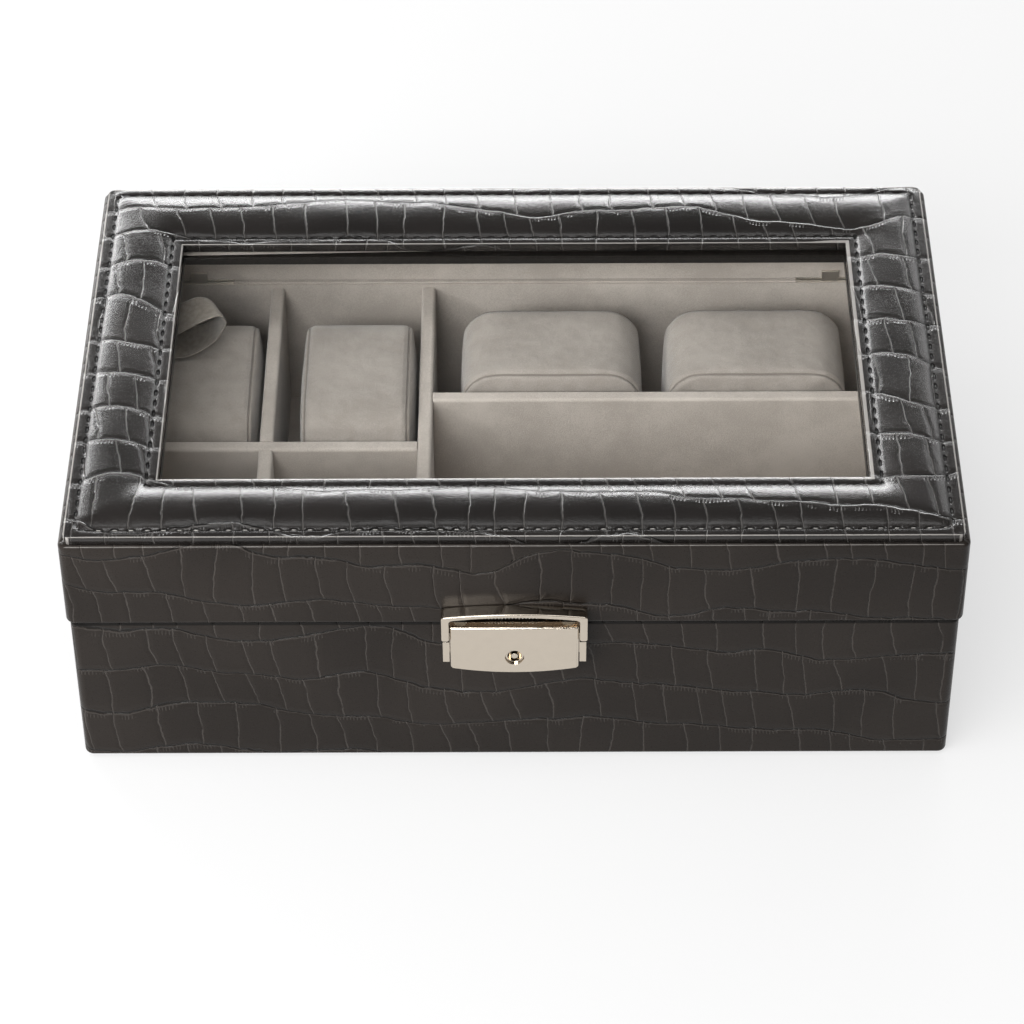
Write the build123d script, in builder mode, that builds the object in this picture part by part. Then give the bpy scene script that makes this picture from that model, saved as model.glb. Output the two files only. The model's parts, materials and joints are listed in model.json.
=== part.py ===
from build123d import *
import os

os.makedirs("parts", exist_ok=True)

# A lidded watch and cufflink box: leather over board, a glass window in a padded
# lid frame, suede inside, a push lock at the front and two hinges at the rear.
# Millimetres. X runs to the right, Y to the rear, Z up. The origin lies under the
# middle of the box, on the surface that it stands on.

# ---------------------------------------------------------------- driving sizes
# Carcass
lid_w = 290.0  # lid, left to right
lid_d = 186.0  # lid, front to rear
overhang = 1.0  # lid past the base, each side
rim_h = 62.0  # base rim above the table
seam_gap = 0.4  # between the rim and the closed lid
lid_wall_h = 34.0  # lid walls, without the padded frame
board_t = 7.0  # wall boards
wrap_t = 0.8  # leather
lining_t = 0.8  # suede on card
corner_r = 3.0  # upright corners, over the leather
edge_r = 1.4  # long edges, over the leather
bottom_board_t = 5.0
floor_pad_t = 2.0
felt_t = 0.8
felt_inset = 3.0  # from the base's edge to the felt
turn_under = 15.0  # leather turned under the bottom board
rest_gap = 0.3  # between a loose soft piece and its seat
lay_gap = 0.1  # around a piece laid between others
lining_drop = 0.6  # lining's edge behind the rim

# Dividers
divider_t = 4.8
divider_drop = 1.8  # below the rim
divider_round = 1.2
cell_left_w = 48.0  # left column of compartments
cell_mid_w = 49.4  # second column
cell_front_left_d = 78.4  # compartments in front of the left cross divider
cell_front_right_d = 104.2  # compartment in front of the right cross divider

# Watch pillows
pillow_wrap = 65.0  # across, the way a strap goes round
pillow_len = 40.0
pillow_h = 57.0
pillow_corner_r = 13.0
pillow_crown = 2.6  # rise of each of the four long faces
pillow_end_draw = 3.4  # ends drawn in, each side
pillow_shoulder_draw = 1.1  # the same, at the shoulders
pillow_shoulder = 6.0  # from the ends to the shoulders
pillow_left_room = (6.4, 1.6)  # first pillow's room to its left and right, as weights
pillow_mid_room = (8.0, 1.4)  # second pillow's
pillow_right_room = (8.8, 6.6, 18.4)  # left of, between and right of the right pillows
pillow_left_depth_room = (0.6, 18.0)  # left pillows' room to the front and the rear
pillow_right_depth_room = (1.6, 16.2)  # right pillows'

# Window, glass and padded frame
window_w = 229.5
window_d = 122.0
window_y = -3.0  # window's middle, from the lid's middle
panel_back_side = 1.7  # padded frame's edge back from the lid wall
panel_back_front = 1.0
panel_back_rear = 3.0
top_board_t = 2.4
pad_margin = 3.7  # flat edge outside each stitch line
pad_crown = 2.0  # rise of the padding
pad_edge_r = 0.5
glass_t = 2.0
glass_lap = 6.0  # glass past the window, each side
glass_gap = 0.4  # around the glass
glass_head_gap = 0.2  # over the glass
glass_frame_t = 4.8

# Hinges
hinge_in = 32.0  # hinge's middle from the lid's end
hinge_w = 24.0
leaf_t = 0.8
knuckle_r = 2.0
knuckle_gap = 0.2  # between knuckles, along the pin
barrel_gap = 0.1  # barrel to the lid's rear face
pin_r = 1.0
pin_gap = 0.03
pin_head_r = 1.6
pin_head_t = 0.8
stop_tab_w = 6.0
stop_tab_h = 4.2
leaf_fit = 0.15  # around a leaf in its notch

# Screws
hinge_screw_r = 1.0
hinge_screw_head_r = 1.8
hinge_screw_len = 7.0
hinge_screw_dx = 8.0  # from the hinge's middle
lock_screw_r = 1.1
lock_screw_head_r = 2.1
lock_screw_len = 6.0
screw_gap = 0.05

# Lock, lid side
lock_w = 47.3
bracket_depth = 5.0
bracket_leg_w = 2.6
bracket_leg_drop = 3.6  # legs below the lid's lower edge
bracket_shoulder = 6.95  # legs' top above the lid's lower edge
bracket_arch = 1.45
bracket_rim_t = 1.55
bracket_flange_t = 1.0
bracket_corner_r = 1.2
tongue_w = 8.0
tongue_x = 12.0
tongue_t = 0.9
tongue_back = 0.5  # tongue ahead of the lid's face
tongue_drop = 5.4  # tongue below the lid's lower edge
flange_lift = 0.2
bracket_screw_x = 17.5
bracket_screw_up = 3.4

# Lock, base side
lock_plate_t = 1.2
lock_plate_low = 15.5  # lower edge below the rim
lock_plate_top = 0.6  # upper edge below the rim
lock_plate_inset = 0.45  # ears' outer faces inside the bracket's
ear_low = 12.5  # ears' lower ends below the rim
ear_gap = 0.6  # ears to the bracket's legs
ear_depth = 5.5
lock_side_gap = 0.25  # push plate to the legs and the ears
push_t = 3.0
push_rise = 3.0  # plate's upper edge above the rim
push_low = 15.2  # plate's lower corners below the rim
push_arch = 2.1
push_corner_r = 1.2
push_bevel = 0.5
push_travel = 2.5
push_face = 6.0  # plate's front ahead of the base's front
slide_neck_w = 11.0
slide_neck_top = 5.0  # neck's upper end below the rim
slide_neck_low = 16.0
slide_flange_w = 15.0
slide_flange_t = 1.2
slide_flange_lap = 1.5
slide_gap = 0.3
case_w = 21.0
case_top = 2.0  # case's upper end below the rim
case_low = 26.0  # case's lower end below the rim
case_depth = 6.0
case_wall = 0.8
case_fit = 0.1
lock_screw_x = 15.0
lock_screw_low = 10.0
spring_r = 2.0
spring_wall = 0.6
spring_foot_w = 6.0
spring_foot_t = 1.7
key_low = 10.3  # key's axis below the rim
plug_r = 3.0
plug_gap = 0.05
plug_sink = 0.8  # plug's face behind the push plate's
keyway_r = 2.3
keyway_pin_r = 1.1
keyway_depth = 3.0
plug_shank_r = 1.5
plug_head_r = 2.1
plug_head_t = 0.5
cam_t = 1.0
cam_reach = 6.9
cam_arm_w = 3.2

# Ribbon stay, folded between the left walls while the lid is closed
ribbon_w = 15.0
ribbon_t = 0.5
ribbon_y = 43.5
ribbon_low = 10.0  # lower end below the rim
ribbon_lower_bend = 5.0  # start of the lower bend above the rim
ribbon_bend_r = 7.0
ribbon_fold_x = 33.0  # fold's middle from the base's lining
ribbon_fold_r = 2.6
ribbon_top = 27.0  # upper end above the rim

# --------------------------------------------------------------- worked-out sizes
base_w = lid_w - 2 * overhang
base_d = lid_d - 2 * overhang
wall_t = wrap_t + board_t + lining_t
board_corner_r = corner_r - wrap_t

z_board = felt_t + wrap_t
z_bottom_top = z_board + bottom_board_t
z_floor = z_bottom_top + floor_pad_t
z_rim = rim_h
z_base_board_top = z_rim - wrap_t
z_lid = z_rim + seam_gap
z_lid_board = z_lid + wrap_t
z_wall_top = z_lid + lid_wall_h
z_lid_board_top = z_wall_top - wrap_t

base_front = base_d / 2
lid_front = lid_d / 2
base_in_x = base_w / 2 - wall_t
base_in_y = base_d / 2 - wall_t
lid_in_x = lid_w / 2 - wall_t
lid_in_y = lid_d / 2 - wall_t

z_divider = z_rim - divider_drop
x_left_divider = -base_in_x + cell_left_w + divider_t / 2
x_long_divider = x_left_divider + cell_mid_w + divider_t
y_left_cross = -base_in_y + cell_front_left_d + divider_t / 2
y_right_cross = -base_in_y + cell_front_right_d + divider_t / 2

z_pillow = z_floor + rest_gap

z_glass_top = z_wall_top - glass_head_gap
z_glass = z_glass_top - glass_t
z_glass_frame = z_wall_top - glass_frame_t
z_top_board = z_wall_top + top_board_t
z_margin = z_top_board + wrap_t
panel_w = lid_w - 2 * panel_back_side
panel_front = lid_front - panel_back_front
panel_rear = lid_front - panel_back_rear
panel_d = panel_front + panel_rear
panel_y = (panel_rear - panel_front) / 2
glass_w = window_w + 2 * glass_lap
glass_d = window_d + 2 * glass_lap

z_hinge = (z_rim + z_lid) / 2
y_hinge = lid_front + barrel_gap + knuckle_r
hinge_x = lid_w / 2 - hinge_in
knuckle_len = (hinge_w - 2 * knuckle_gap) / 3
leaf_back = y_hinge - knuckle_r - 2 * barrel_gap

lock_half = lock_w / 2
leg_in = lock_half - bracket_leg_w
z_leg = z_lid - bracket_leg_drop
z_shoulder = z_lid + bracket_shoulder
z_rim_in = z_shoulder - bracket_rim_t
push_half = leg_in - lock_side_gap
y_push_front = base_front + push_face
y_push_back = y_push_front - push_t
z_push_top = z_rim + push_rise
z_push_low = z_rim - push_low
z_key = z_rim - key_low
z_neck_top = z_rim - slide_neck_top
z_neck_low = z_rim - slide_neck_low
z_case_top = z_rim - case_top
z_case_low = z_rim - case_low
y_case_back = base_front - wrap_t - case_depth
y_flange = base_front - slide_gap - wrap_t
y_cam = y_flange - slide_flange_t - slide_gap
z_foot = z_neck_low - slide_flange_lap
ribbon_x = -base_in_x + rest_gap + ribbon_t / 2
ribbon_lid_x = -lid_in_x + rest_gap + ribbon_t / 2


def save(piece, name):
    """Label a finished piece and write it under its name."""
    piece.part.label = name
    export_step(piece.part, f"parts/{name}.step")


# ------------------------------------------------------------------- repeated forms
def mitre_wedge(w, d, side):
    """Corners of the part of a w by d rectangle that one mitred side fills."""
    x, y = w / 2, d / 2
    k = min(x, y) * 0.95
    corners = {
        "front": [(-x, -y), (x, -y), (x - k, -y + k), (-x + k, -y + k)],
        "rear": [(x, y), (-x, y), (-x + k, y - k), (x - k, y - k)],
        "left": [(-x, y), (-x, -y), (-x + k, -y + k), (-x + k, y - k)],
        "right": [(x, -y), (x, y), (x - k, y - k), (x - k, -y + k)],
    }
    return corners[side]


def wall_board(w, d, z_low, z_top, side):
    """One mitred board of the four that stand around a w by d carcass."""
    with BuildPart() as board:
        with BuildSketch(Plane.XY.offset(z_low)):
            RectangleRounded(w, d, board_corner_r)
            Rectangle(w - 2 * board_t, d - 2 * board_t, mode=Mode.SUBTRACT)
            with BuildLine(mode=Mode.ADD):
                Polyline(*mitre_wedge(w, d, side), close=True)
            make_face(mode=Mode.INTERSECT)
        extrude(amount=z_top - z_low)
    return board


def leather_wrap(w, d, z_low, z_top, lower_turn, upper_turn):
    """Leather over a carcass: a skin with its edges turned in below and above."""
    with BuildPart() as wrap:
        with BuildSketch(Plane.XY.offset(z_low)):
            RectangleRounded(w, d, corner_r)
        extrude(amount=z_top - z_low)
        ends = wrap.faces().filter_by(Axis.Z)
        fillet(ends.edges(), radius=edge_r)
        with BuildSketch(Plane.XY.offset(z_low + wrap_t)):
            RectangleRounded(w - 2 * wrap_t, d - 2 * wrap_t, board_corner_r)
        extrude(amount=z_top - z_low - 2 * wrap_t, mode=Mode.SUBTRACT)
        with BuildSketch(Plane.XY.offset(z_low)):
            Rectangle(w - 2 * (wrap_t + lower_turn), d - 2 * (wrap_t + lower_turn))
        extrude(amount=wrap_t, mode=Mode.SUBTRACT)
        with BuildSketch(Plane.XY.offset(z_top - wrap_t)):
            Rectangle(w - 2 * (wrap_t + upper_turn), d - 2 * (wrap_t + upper_turn))
        extrude(amount=wrap_t, mode=Mode.SUBTRACT)
    return wrap


def wall_lining(w, d, z_low, z_top):
    """Suede cards around the inside of a w by d carcass."""
    with BuildPart() as lining:
        with BuildSketch(Plane.XY.offset(z_low)):
            Rectangle(w - 2 * (wrap_t + board_t), d - 2 * (wrap_t + board_t))
            Rectangle(w - 2 * wall_t, d - 2 * wall_t, mode=Mode.SUBTRACT)
        extrude(amount=z_top - z_low)
    return lining


def divider(x_low, x_high, y_low, y_high):
    """A suede-covered board that stands on the floor pad, its top edges rounded."""
    with BuildPart() as board:
        with BuildSketch(Plane.XY.offset(z_floor)):
            with Locations(((x_low + x_high) / 2, (y_low + y_high) / 2)):
                Rectangle(x_high - x_low, y_high - y_low)
        extrude(amount=z_divider - z_floor)
        along = Axis.Y if y_high - y_low > x_high - x_low else Axis.X
        top_edges = board.edges().filter_by(along).group_by(Axis.Z)[-1]
        fillet(top_edges, radius=divider_round)
    return board


def countersunk_screw(face, radius, head_r, length):
    """A countersunk screw, its head flush in the plane and its shank behind it."""
    head_t = head_r - radius
    with BuildPart() as screw:
        with BuildSketch(face):
            Circle(radius)
        extrude(amount=-length)
        with BuildSketch(face):
            Circle(head_r)
        with BuildSketch(face.offset(-head_t)):
            Circle(radius)
        loft()
    return screw.part


# --------------------------------------------------------------------- base carcass
with BuildPart() as base_felt:
    with BuildSketch(Plane.XY):
        RectangleRounded(base_w - 2 * felt_inset, base_d - 2 * felt_inset, corner_r)
    extrude(amount=felt_t)
    with BuildSketch(Plane.XY.offset(felt_t)):
        Rectangle(base_w - 2 * (wrap_t + turn_under), base_d - 2 * (wrap_t + turn_under))
    extrude(amount=wrap_t)

with BuildPart() as base_bottom_board:
    with BuildSketch(Plane.XY.offset(z_board)):
        Rectangle(base_w - 2 * (wrap_t + board_t), base_d - 2 * (wrap_t + board_t))
    extrude(amount=bottom_board_t)

with BuildPart() as floor_pad:
    with BuildSketch(Plane.XY.offset(z_bottom_top)):
        Rectangle(2 * (base_in_x + lining_t - lay_gap), 2 * (base_in_y + lining_t - lay_gap))
    extrude(amount=floor_pad_t)

base_box = (base_w - 2 * wrap_t, base_d - 2 * wrap_t)
base_board_front = wall_board(*base_box, z_board, z_base_board_top, "front")
base_board_rear = wall_board(*base_box, z_board, z_base_board_top, "rear")
base_board_left = wall_board(*base_box, z_board, z_base_board_top, "left")
base_board_right = wall_board(*base_box, z_board, z_base_board_top, "right")
base_wrap = leather_wrap(base_w, base_d, felt_t, z_rim, turn_under, board_t)
base_lining = wall_lining(base_w, base_d, z_floor, z_rim - lining_drop)

# ------------------------------------------------------------------------- dividers
left_face = x_left_divider - divider_t / 2
right_face = x_left_divider + divider_t / 2
divider_left_rear = divider(left_face, right_face, y_left_cross + divider_t / 2, base_in_y)
divider_left_front = divider(left_face, right_face, -base_in_y, y_left_cross - divider_t / 2)
divider_long = divider(
    x_long_divider - divider_t / 2, x_long_divider + divider_t / 2, -base_in_y, base_in_y
)
divider_left_cross = divider(
    -base_in_x,
    x_long_divider - divider_t / 2,
    y_left_cross - divider_t / 2,
    y_left_cross + divider_t / 2,
)
divider_right_cross = divider(
    x_long_divider + divider_t / 2,
    base_in_x,
    y_right_cross - divider_t / 2,
    y_right_cross + divider_t / 2,
)


# -------------------------------------------------------------------- watch pillows
def pillow_section(draw):
    """A pillow's cross-section: four crowned faces between rounded corners."""
    x = pillow_wrap / 2 - draw
    z = pillow_h / 2 - draw
    xc, zc = x - pillow_crown, z - pillow_crown
    with BuildSketch() as section:
        with BuildLine():
            ThreePointArc((-xc, zc), (0, z), (xc, zc))
            ThreePointArc((xc, zc), (x, 0), (xc, -zc))
            ThreePointArc((xc, -zc), (0, -z), (-xc, -zc))
            ThreePointArc((-xc, -zc), (-x, 0), (-xc, zc))
        make_face()
        fillet(section.vertices(), radius=pillow_corner_r - draw)
    return section.sketch


def spread_in(cell, size, room):
    """Middles of pillows of one size in a cell, its free room shared by weights."""
    free = cell[1] - cell[0] - size * (len(room) - 1)
    steps = [free * weight / sum(room) for weight in room[:-1]]
    return [cell[0] + sum(steps[: n + 1]) + size * (n + 0.5) for n in range(len(steps))]


def watch_pillow(x, y, turned):
    """A soft pillow on the floor pad; turned gives a strap running front to rear."""
    z = z_pillow + pillow_h / 2
    middle = Plane((x, y, z), x_dir=(0, 1, 0), z_dir=(1, 0, 0)) if turned else Plane(
        (x, y, z), x_dir=(1, 0, 0), z_dir=(0, -1, 0)
    )
    half = pillow_len / 2
    with BuildPart() as pillow:
        for along, draw in (
            (-half, pillow_end_draw),
            (pillow_shoulder - half, pillow_shoulder_draw),
            (0, 0),
            (half - pillow_shoulder, pillow_shoulder_draw),
            (half, pillow_end_draw),
        ):
            with BuildSketch(middle.offset(along)):
                add(pillow_section(draw))
        loft()
    return pillow


left_cell = (-base_in_x, x_left_divider - divider_t / 2)
mid_cell = (x_left_divider + divider_t / 2, x_long_divider - divider_t / 2)
right_cell = (x_long_divider + divider_t / 2, base_in_x)
left_depth = (y_left_cross + divider_t / 2, base_in_y)
right_depth = (y_right_cross + divider_t / 2, base_in_y)
[x_pillow_left] = spread_in(left_cell, pillow_len, pillow_left_room)
[x_pillow_mid] = spread_in(mid_cell, pillow_len, pillow_mid_room)
[x_pillow_third, x_pillow_fourth] = spread_in(right_cell, pillow_wrap, pillow_right_room)
[y_pillow_left] = spread_in(left_depth, pillow_wrap, pillow_left_depth_room)
[y_pillow_right] = spread_in(right_depth, pillow_len, pillow_right_depth_room)

pillow_first = watch_pillow(x_pillow_left, y_pillow_left, True)
pillow_second = watch_pillow(x_pillow_mid, y_pillow_left, True)
pillow_third = watch_pillow(x_pillow_third, y_pillow_right, False)
pillow_fourth = watch_pillow(x_pillow_fourth, y_pillow_right, False)

# ---------------------------------------------------------------------- lid carcass
lid_box = (lid_w - 2 * wrap_t, lid_d - 2 * wrap_t)
lid_board_front = wall_board(*lid_box, z_lid_board, z_lid_board_top, "front")
lid_board_rear = wall_board(*lid_box, z_lid_board, z_lid_board_top, "rear")
lid_board_left = wall_board(*lid_box, z_lid_board, z_lid_board_top, "left")
lid_board_right = wall_board(*lid_box, z_lid_board, z_lid_board_top, "right")
lid_wrap = leather_wrap(lid_w, lid_d, z_lid, z_wall_top, board_t, board_t)
z_lid_lining = z_lid_board + lay_gap
lid_lining = wall_lining(lid_w, lid_d, z_lid_lining, z_glass_frame - lining_t)

# --------------------------------------------------- glass, its frame and the padding
with BuildPart() as glass_frame:
    with BuildSketch(Plane.XY.offset(z_glass_frame)):
        Rectangle(2 * (lid_in_x + lining_t - lay_gap), 2 * (lid_in_y + lining_t - lay_gap))
        with Locations((0, window_y)):
            Rectangle(window_w + 2 * lining_t, window_d + 2 * lining_t, mode=Mode.SUBTRACT)
    extrude(amount=glass_frame_t)
    with BuildSketch(Plane.XY.offset(z_glass)):
        with Locations((0, window_y)):
            Rectangle(glass_w + 2 * glass_gap, glass_d + 2 * glass_gap)
    extrude(amount=glass_t + glass_head_gap, mode=Mode.SUBTRACT)

with BuildPart() as window_lining:
    with BuildSketch(Plane.XY.offset(z_glass_frame - lining_t)):
        Rectangle(2 * (lid_in_x + lining_t - lay_gap), 2 * (lid_in_y + lining_t - lay_gap))
    extrude(amount=lining_t)
    with BuildSketch(Plane.XY.offset(z_glass_frame)):
        with Locations((0, window_y)):
            Rectangle(window_w + 2 * (lining_t - lay_gap), window_d + 2 * (lining_t - lay_gap))
    extrude(amount=z_glass - z_glass_frame - lay_gap)
    with BuildSketch(Plane.XY.offset(z_glass_frame - lining_t)):
        with Locations((0, window_y)):
            Rectangle(window_w, window_d)
    extrude(amount=z_glass - z_glass_frame + lining_t, mode=Mode.SUBTRACT)

with BuildPart() as glass_pane:
    with BuildSketch(Plane.XY.offset(z_glass)):
        with Locations((0, window_y)):
            Rectangle(glass_w, glass_d)
    extrude(amount=glass_t)

with BuildPart() as top_board:
    with BuildSketch(Plane.XY.offset(z_wall_top)):
        with Locations((0, panel_y)):
            Rectangle(panel_w - 2 * wrap_t, panel_d - 2 * wrap_t)
        with Locations((0, window_y)):
            Rectangle(window_w + 2 * wrap_t, window_d + 2 * wrap_t, mode=Mode.SUBTRACT)
    extrude(amount=top_board_t)


def crown_section(width):
    """Section of the padding between the two stitch lines of a strip."""
    low = z_margin - pad_edge_r
    with BuildSketch() as section:
        with BuildLine():
            Bezier((0, z_margin), (width / 2, z_margin + 2 * pad_crown), (width, z_margin))
            Polyline((width, z_margin), (width, low), (0, low), (0, z_margin))
        make_face()
    return section.sketch


def crown_side(start, inward, width, reach, mitre):
    """Padding of one strip: its section run along the strip, cut off at its mitres."""
    along = Vector(*inward).cross(Vector(0, 0, 1))
    with BuildPart() as strip:
        with BuildSketch(Plane(start, x_dir=inward, z_dir=along)):
            add(crown_section(width))
        extrude(amount=reach / 2, both=True)
        with BuildSketch(Plane.XY.offset(z_wall_top)):
            with BuildLine():
                Polyline(*mitre, close=True)
            make_face()
        extrude(amount=z_margin + pad_crown, mode=Mode.INTERSECT)
    return strip.part


# Stitch lines: outer and inner, each a rectangle of left-right and front-rear places
x_out = panel_w / 2 - pad_margin
x_in = window_w / 2 + pad_margin
y_out_front, y_out_rear = pad_margin - panel_front, panel_rear - pad_margin
y_in_front = window_y - window_d / 2 - pad_margin
y_in_rear = window_y + window_d / 2 + pad_margin
with BuildPart() as padded_frame:
    with BuildSketch(Plane.XY.offset(z_wall_top)):
        with Locations((0, panel_y)):
            Rectangle(panel_w, panel_d)
        with Locations((0, window_y)):
            Rectangle(window_w, window_d, mode=Mode.SUBTRACT)
    extrude(amount=z_margin - z_wall_top)
    fillet(padded_frame.faces().sort_by(Axis.Z)[-1].edges(), radius=pad_edge_r)
    add(top_board.part, mode=Mode.SUBTRACT)
    add(
        crown_side(
            (0, y_out_front, 0), (0, 1, 0), y_in_front - y_out_front, 2 * x_out,
            [(-x_out, y_out_front), (x_out, y_out_front), (x_in, y_in_front), (-x_in, y_in_front)],
        )
    )
    add(
        crown_side(
            (0, y_out_rear, 0), (0, -1, 0), y_out_rear - y_in_rear, 2 * x_out,
            [(x_out, y_out_rear), (-x_out, y_out_rear), (-x_in, y_in_rear), (x_in, y_in_rear)],
        )
    )
    for side in (-1, 1):
        add(
            crown_side(
                (side * x_out, 0, 0), (-side, 0, 0), x_out - x_in, 2 * panel_d,
                [
                    (side * x_out, y_out_front),
                    (side * x_out, y_out_rear),
                    (side * x_in, y_in_rear),
                    (side * x_in, y_in_front),
                ],
            )
        )


# --------------------------------------------------------------------------- hinges
def hinge_leaf(x, z_low, knuckle_spans, with_tab):
    """A leaf laid on a wall board's edge, with its knuckles around the pin."""
    leaf_front = lid_in_y - lay_gap if with_tab else base_in_y + lining_t
    with BuildPart() as leaf:
        with BuildSketch(Plane.XY.offset(z_low)):
            with Locations((x, (leaf_front + leaf_back) / 2)):
                Rectangle(hinge_w, leaf_back - leaf_front)
            for low, high in knuckle_spans:
                with Locations((x + (low + high) / 2, (leaf_back + y_hinge) / 2)):
                    Rectangle(high - low, y_hinge - leaf_back)
        extrude(amount=leaf_t)
        for low, high in knuckle_spans:
            with BuildSketch(Plane((x + low, y_hinge, z_hinge), x_dir=(0, 1, 0), z_dir=(1, 0, 0))):
                Circle(knuckle_r)
            extrude(amount=high - low)
        if with_tab:
            with BuildSketch(Plane.XY.offset(z_low)):
                with Locations((x, leaf_front - leaf_t / 2)):
                    Rectangle(stop_tab_w, leaf_t)
            extrude(amount=stop_tab_h)
        with BuildSketch(Plane((x - hinge_w / 2, y_hinge, z_hinge), x_dir=(0, 1, 0), z_dir=(1, 0, 0))):
            Circle(pin_r + pin_gap)
        extrude(amount=hinge_w, mode=Mode.SUBTRACT)
    return leaf


def hinge_pin(x):
    """A hinge pin with a low head at each end."""
    with BuildPart() as pin:
        start = Plane((x - hinge_w / 2, y_hinge, z_hinge), x_dir=(0, 1, 0), z_dir=(1, 0, 0))
        with BuildSketch(start):
            Circle(pin_r)
        extrude(amount=hinge_w)
        with BuildSketch(start):
            Circle(pin_head_r)
        extrude(amount=-pin_head_t)
        with BuildSketch(start.offset(hinge_w)):
            Circle(pin_head_r)
        extrude(amount=pin_head_t)
    return pin


outer_knuckles = (
    (-hinge_w / 2, -hinge_w / 2 + knuckle_len),
    (hinge_w / 2 - knuckle_len, hinge_w / 2),
)
middle_knuckle = ((-knuckle_len / 2, knuckle_len / 2),)
hinge_base_leaf_left = hinge_leaf(-hinge_x, z_base_board_top, outer_knuckles, False)
hinge_base_leaf_right = hinge_leaf(hinge_x, z_base_board_top, outer_knuckles, False)
hinge_lid_leaf_left = hinge_leaf(-hinge_x, z_lid, middle_knuckle, True)
hinge_lid_leaf_right = hinge_leaf(hinge_x, z_lid, middle_knuckle, True)
hinge_pin_left = hinge_pin(-hinge_x)
hinge_pin_right = hinge_pin(hinge_x)

hinge_screw_spots = [
    (side * hinge_x + step, base_front - wrap_t - board_t / 2)
    for side in (-1, 1)
    for step in (-hinge_screw_dx, hinge_screw_dx)
]
hinge_screw_size = (hinge_screw_r, hinge_screw_head_r, hinge_screw_len)
with BuildPart() as hinge_screws_base:
    for spot in hinge_screw_spots:
        add(countersunk_screw(Plane((*spot, z_rim)), *hinge_screw_size))
with BuildPart() as hinge_screws_lid:
    for spot in hinge_screw_spots:
        face = Plane((*spot, z_lid), x_dir=(1, 0, 0), z_dir=(0, 0, -1))
        add(countersunk_screw(face, *hinge_screw_size))


def cut(piece, solids):
    """Take solids out of a piece."""
    with piece:
        for solid in solids:
            add(solid, mode=Mode.SUBTRACT)


def screw_holes(planes, radius, head_r, length):
    """Countersunk holes for screws that stand in the given planes."""
    size = (radius + screw_gap, head_r + screw_gap, length + screw_gap)
    return [countersunk_screw(plane, *size) for plane in planes]


def block(x_mid, width, y_low, y_high, z_low, z_high):
    """A plain block between the given limits."""
    with BuildPart() as solid:
        with BuildSketch(Plane.XY.offset(z_low)):
            with Locations((x_mid, (y_low + y_high) / 2)):
                Rectangle(width, y_high - y_low)
        extrude(amount=z_high - z_low)
    return solid.part


base_hinge_planes = [Plane((*spot, z_rim)) for spot in hinge_screw_spots]
lid_hinge_planes = [
    Plane((*spot, z_lid), x_dir=(1, 0, 0), z_dir=(0, 0, -1)) for spot in hinge_screw_spots
]
base_hinge_holes = screw_holes(base_hinge_planes, *hinge_screw_size)
lid_hinge_holes = screw_holes(lid_hinge_planes, *hinge_screw_size)
notch_w = hinge_w + 2 * leaf_fit
cut(hinge_base_leaf_left, base_hinge_holes[:2])
cut(hinge_base_leaf_right, base_hinge_holes[2:])
cut(base_board_rear, base_hinge_holes)
cut(hinge_lid_leaf_left, lid_hinge_holes[:2])
cut(hinge_lid_leaf_right, lid_hinge_holes[2:])
cut(lid_board_rear, lid_hinge_holes)
cut(
    base_wrap,
    [
        block(x, notch_w, base_in_y, lid_front, z_base_board_top, z_rim)
        for x in (-hinge_x, hinge_x)
    ],
)
cut(
    lid_wrap,
    [block(x, notch_w, lid_in_y, y_hinge, z_lid, z_lid_board) for x in (-hinge_x, hinge_x)],
)

# ----------------------------------------------------------------- lock, on the lid
with BuildPart() as lid_bracket:
    with BuildSketch(Plane.XZ.offset(lid_front)):
        with BuildLine():
            Polyline((-leg_in, z_rim_in), (-leg_in, z_leg), (-lock_half, z_leg), (-lock_half, z_shoulder))
            ThreePointArc((-lock_half, z_shoulder), (0, z_shoulder + bracket_arch), (lock_half, z_shoulder))
            Polyline((lock_half, z_shoulder), (lock_half, z_leg), (leg_in, z_leg), (leg_in, z_rim_in))
            ThreePointArc((leg_in, z_rim_in), (0, z_rim_in + bracket_arch), (-leg_in, z_rim_in))
        make_face()
    extrude(amount=bracket_depth)
    shoulders = lid_bracket.edges().filter_by(Axis.Y).filter_by_position(
        Axis.Z, z_shoulder - 0.01, z_shoulder + 0.01
    )
    fillet(shoulders, radius=bracket_corner_r)

with BuildPart() as lid_catch:
    with BuildSketch(Plane.XZ.offset(lid_front)):
        with Locations((0, (z_lid + flange_lift + z_rim_in) / 2)):
            Rectangle(2 * leg_in, z_rim_in - z_lid - flange_lift)
        with BuildLine():
            ThreePointArc((leg_in, z_rim_in), (0, z_rim_in + bracket_arch), (-leg_in, z_rim_in))
            Line((-leg_in, z_rim_in), (leg_in, z_rim_in))
        make_face()
    extrude(amount=bracket_flange_t)
    with BuildSketch(Plane.XZ.offset(lid_front + tongue_back)):
        with Locations(
            (-tongue_x, z_lid + flange_lift - tongue_drop / 2),
            (tongue_x, z_lid + flange_lift - tongue_drop / 2),
        ):
            Rectangle(tongue_w, tongue_drop + 2 * flange_lift)
    extrude(amount=tongue_t)

bracket_screw_planes = [
    Plane((x, -lid_front - bracket_flange_t, z_lid + bracket_screw_up), x_dir=(1, 0, 0), z_dir=(0, -1, 0))
    for x in (-bracket_screw_x, bracket_screw_x)
]
lock_screw_size = (lock_screw_r, lock_screw_head_r, lock_screw_len)
with BuildPart() as bracket_screws:
    for plane in bracket_screw_planes:
        add(countersunk_screw(plane, *lock_screw_size))
for piece in (lid_catch, lid_wrap, lid_board_front):
    cut(piece, screw_holes(bracket_screw_planes, *lock_screw_size))

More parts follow.
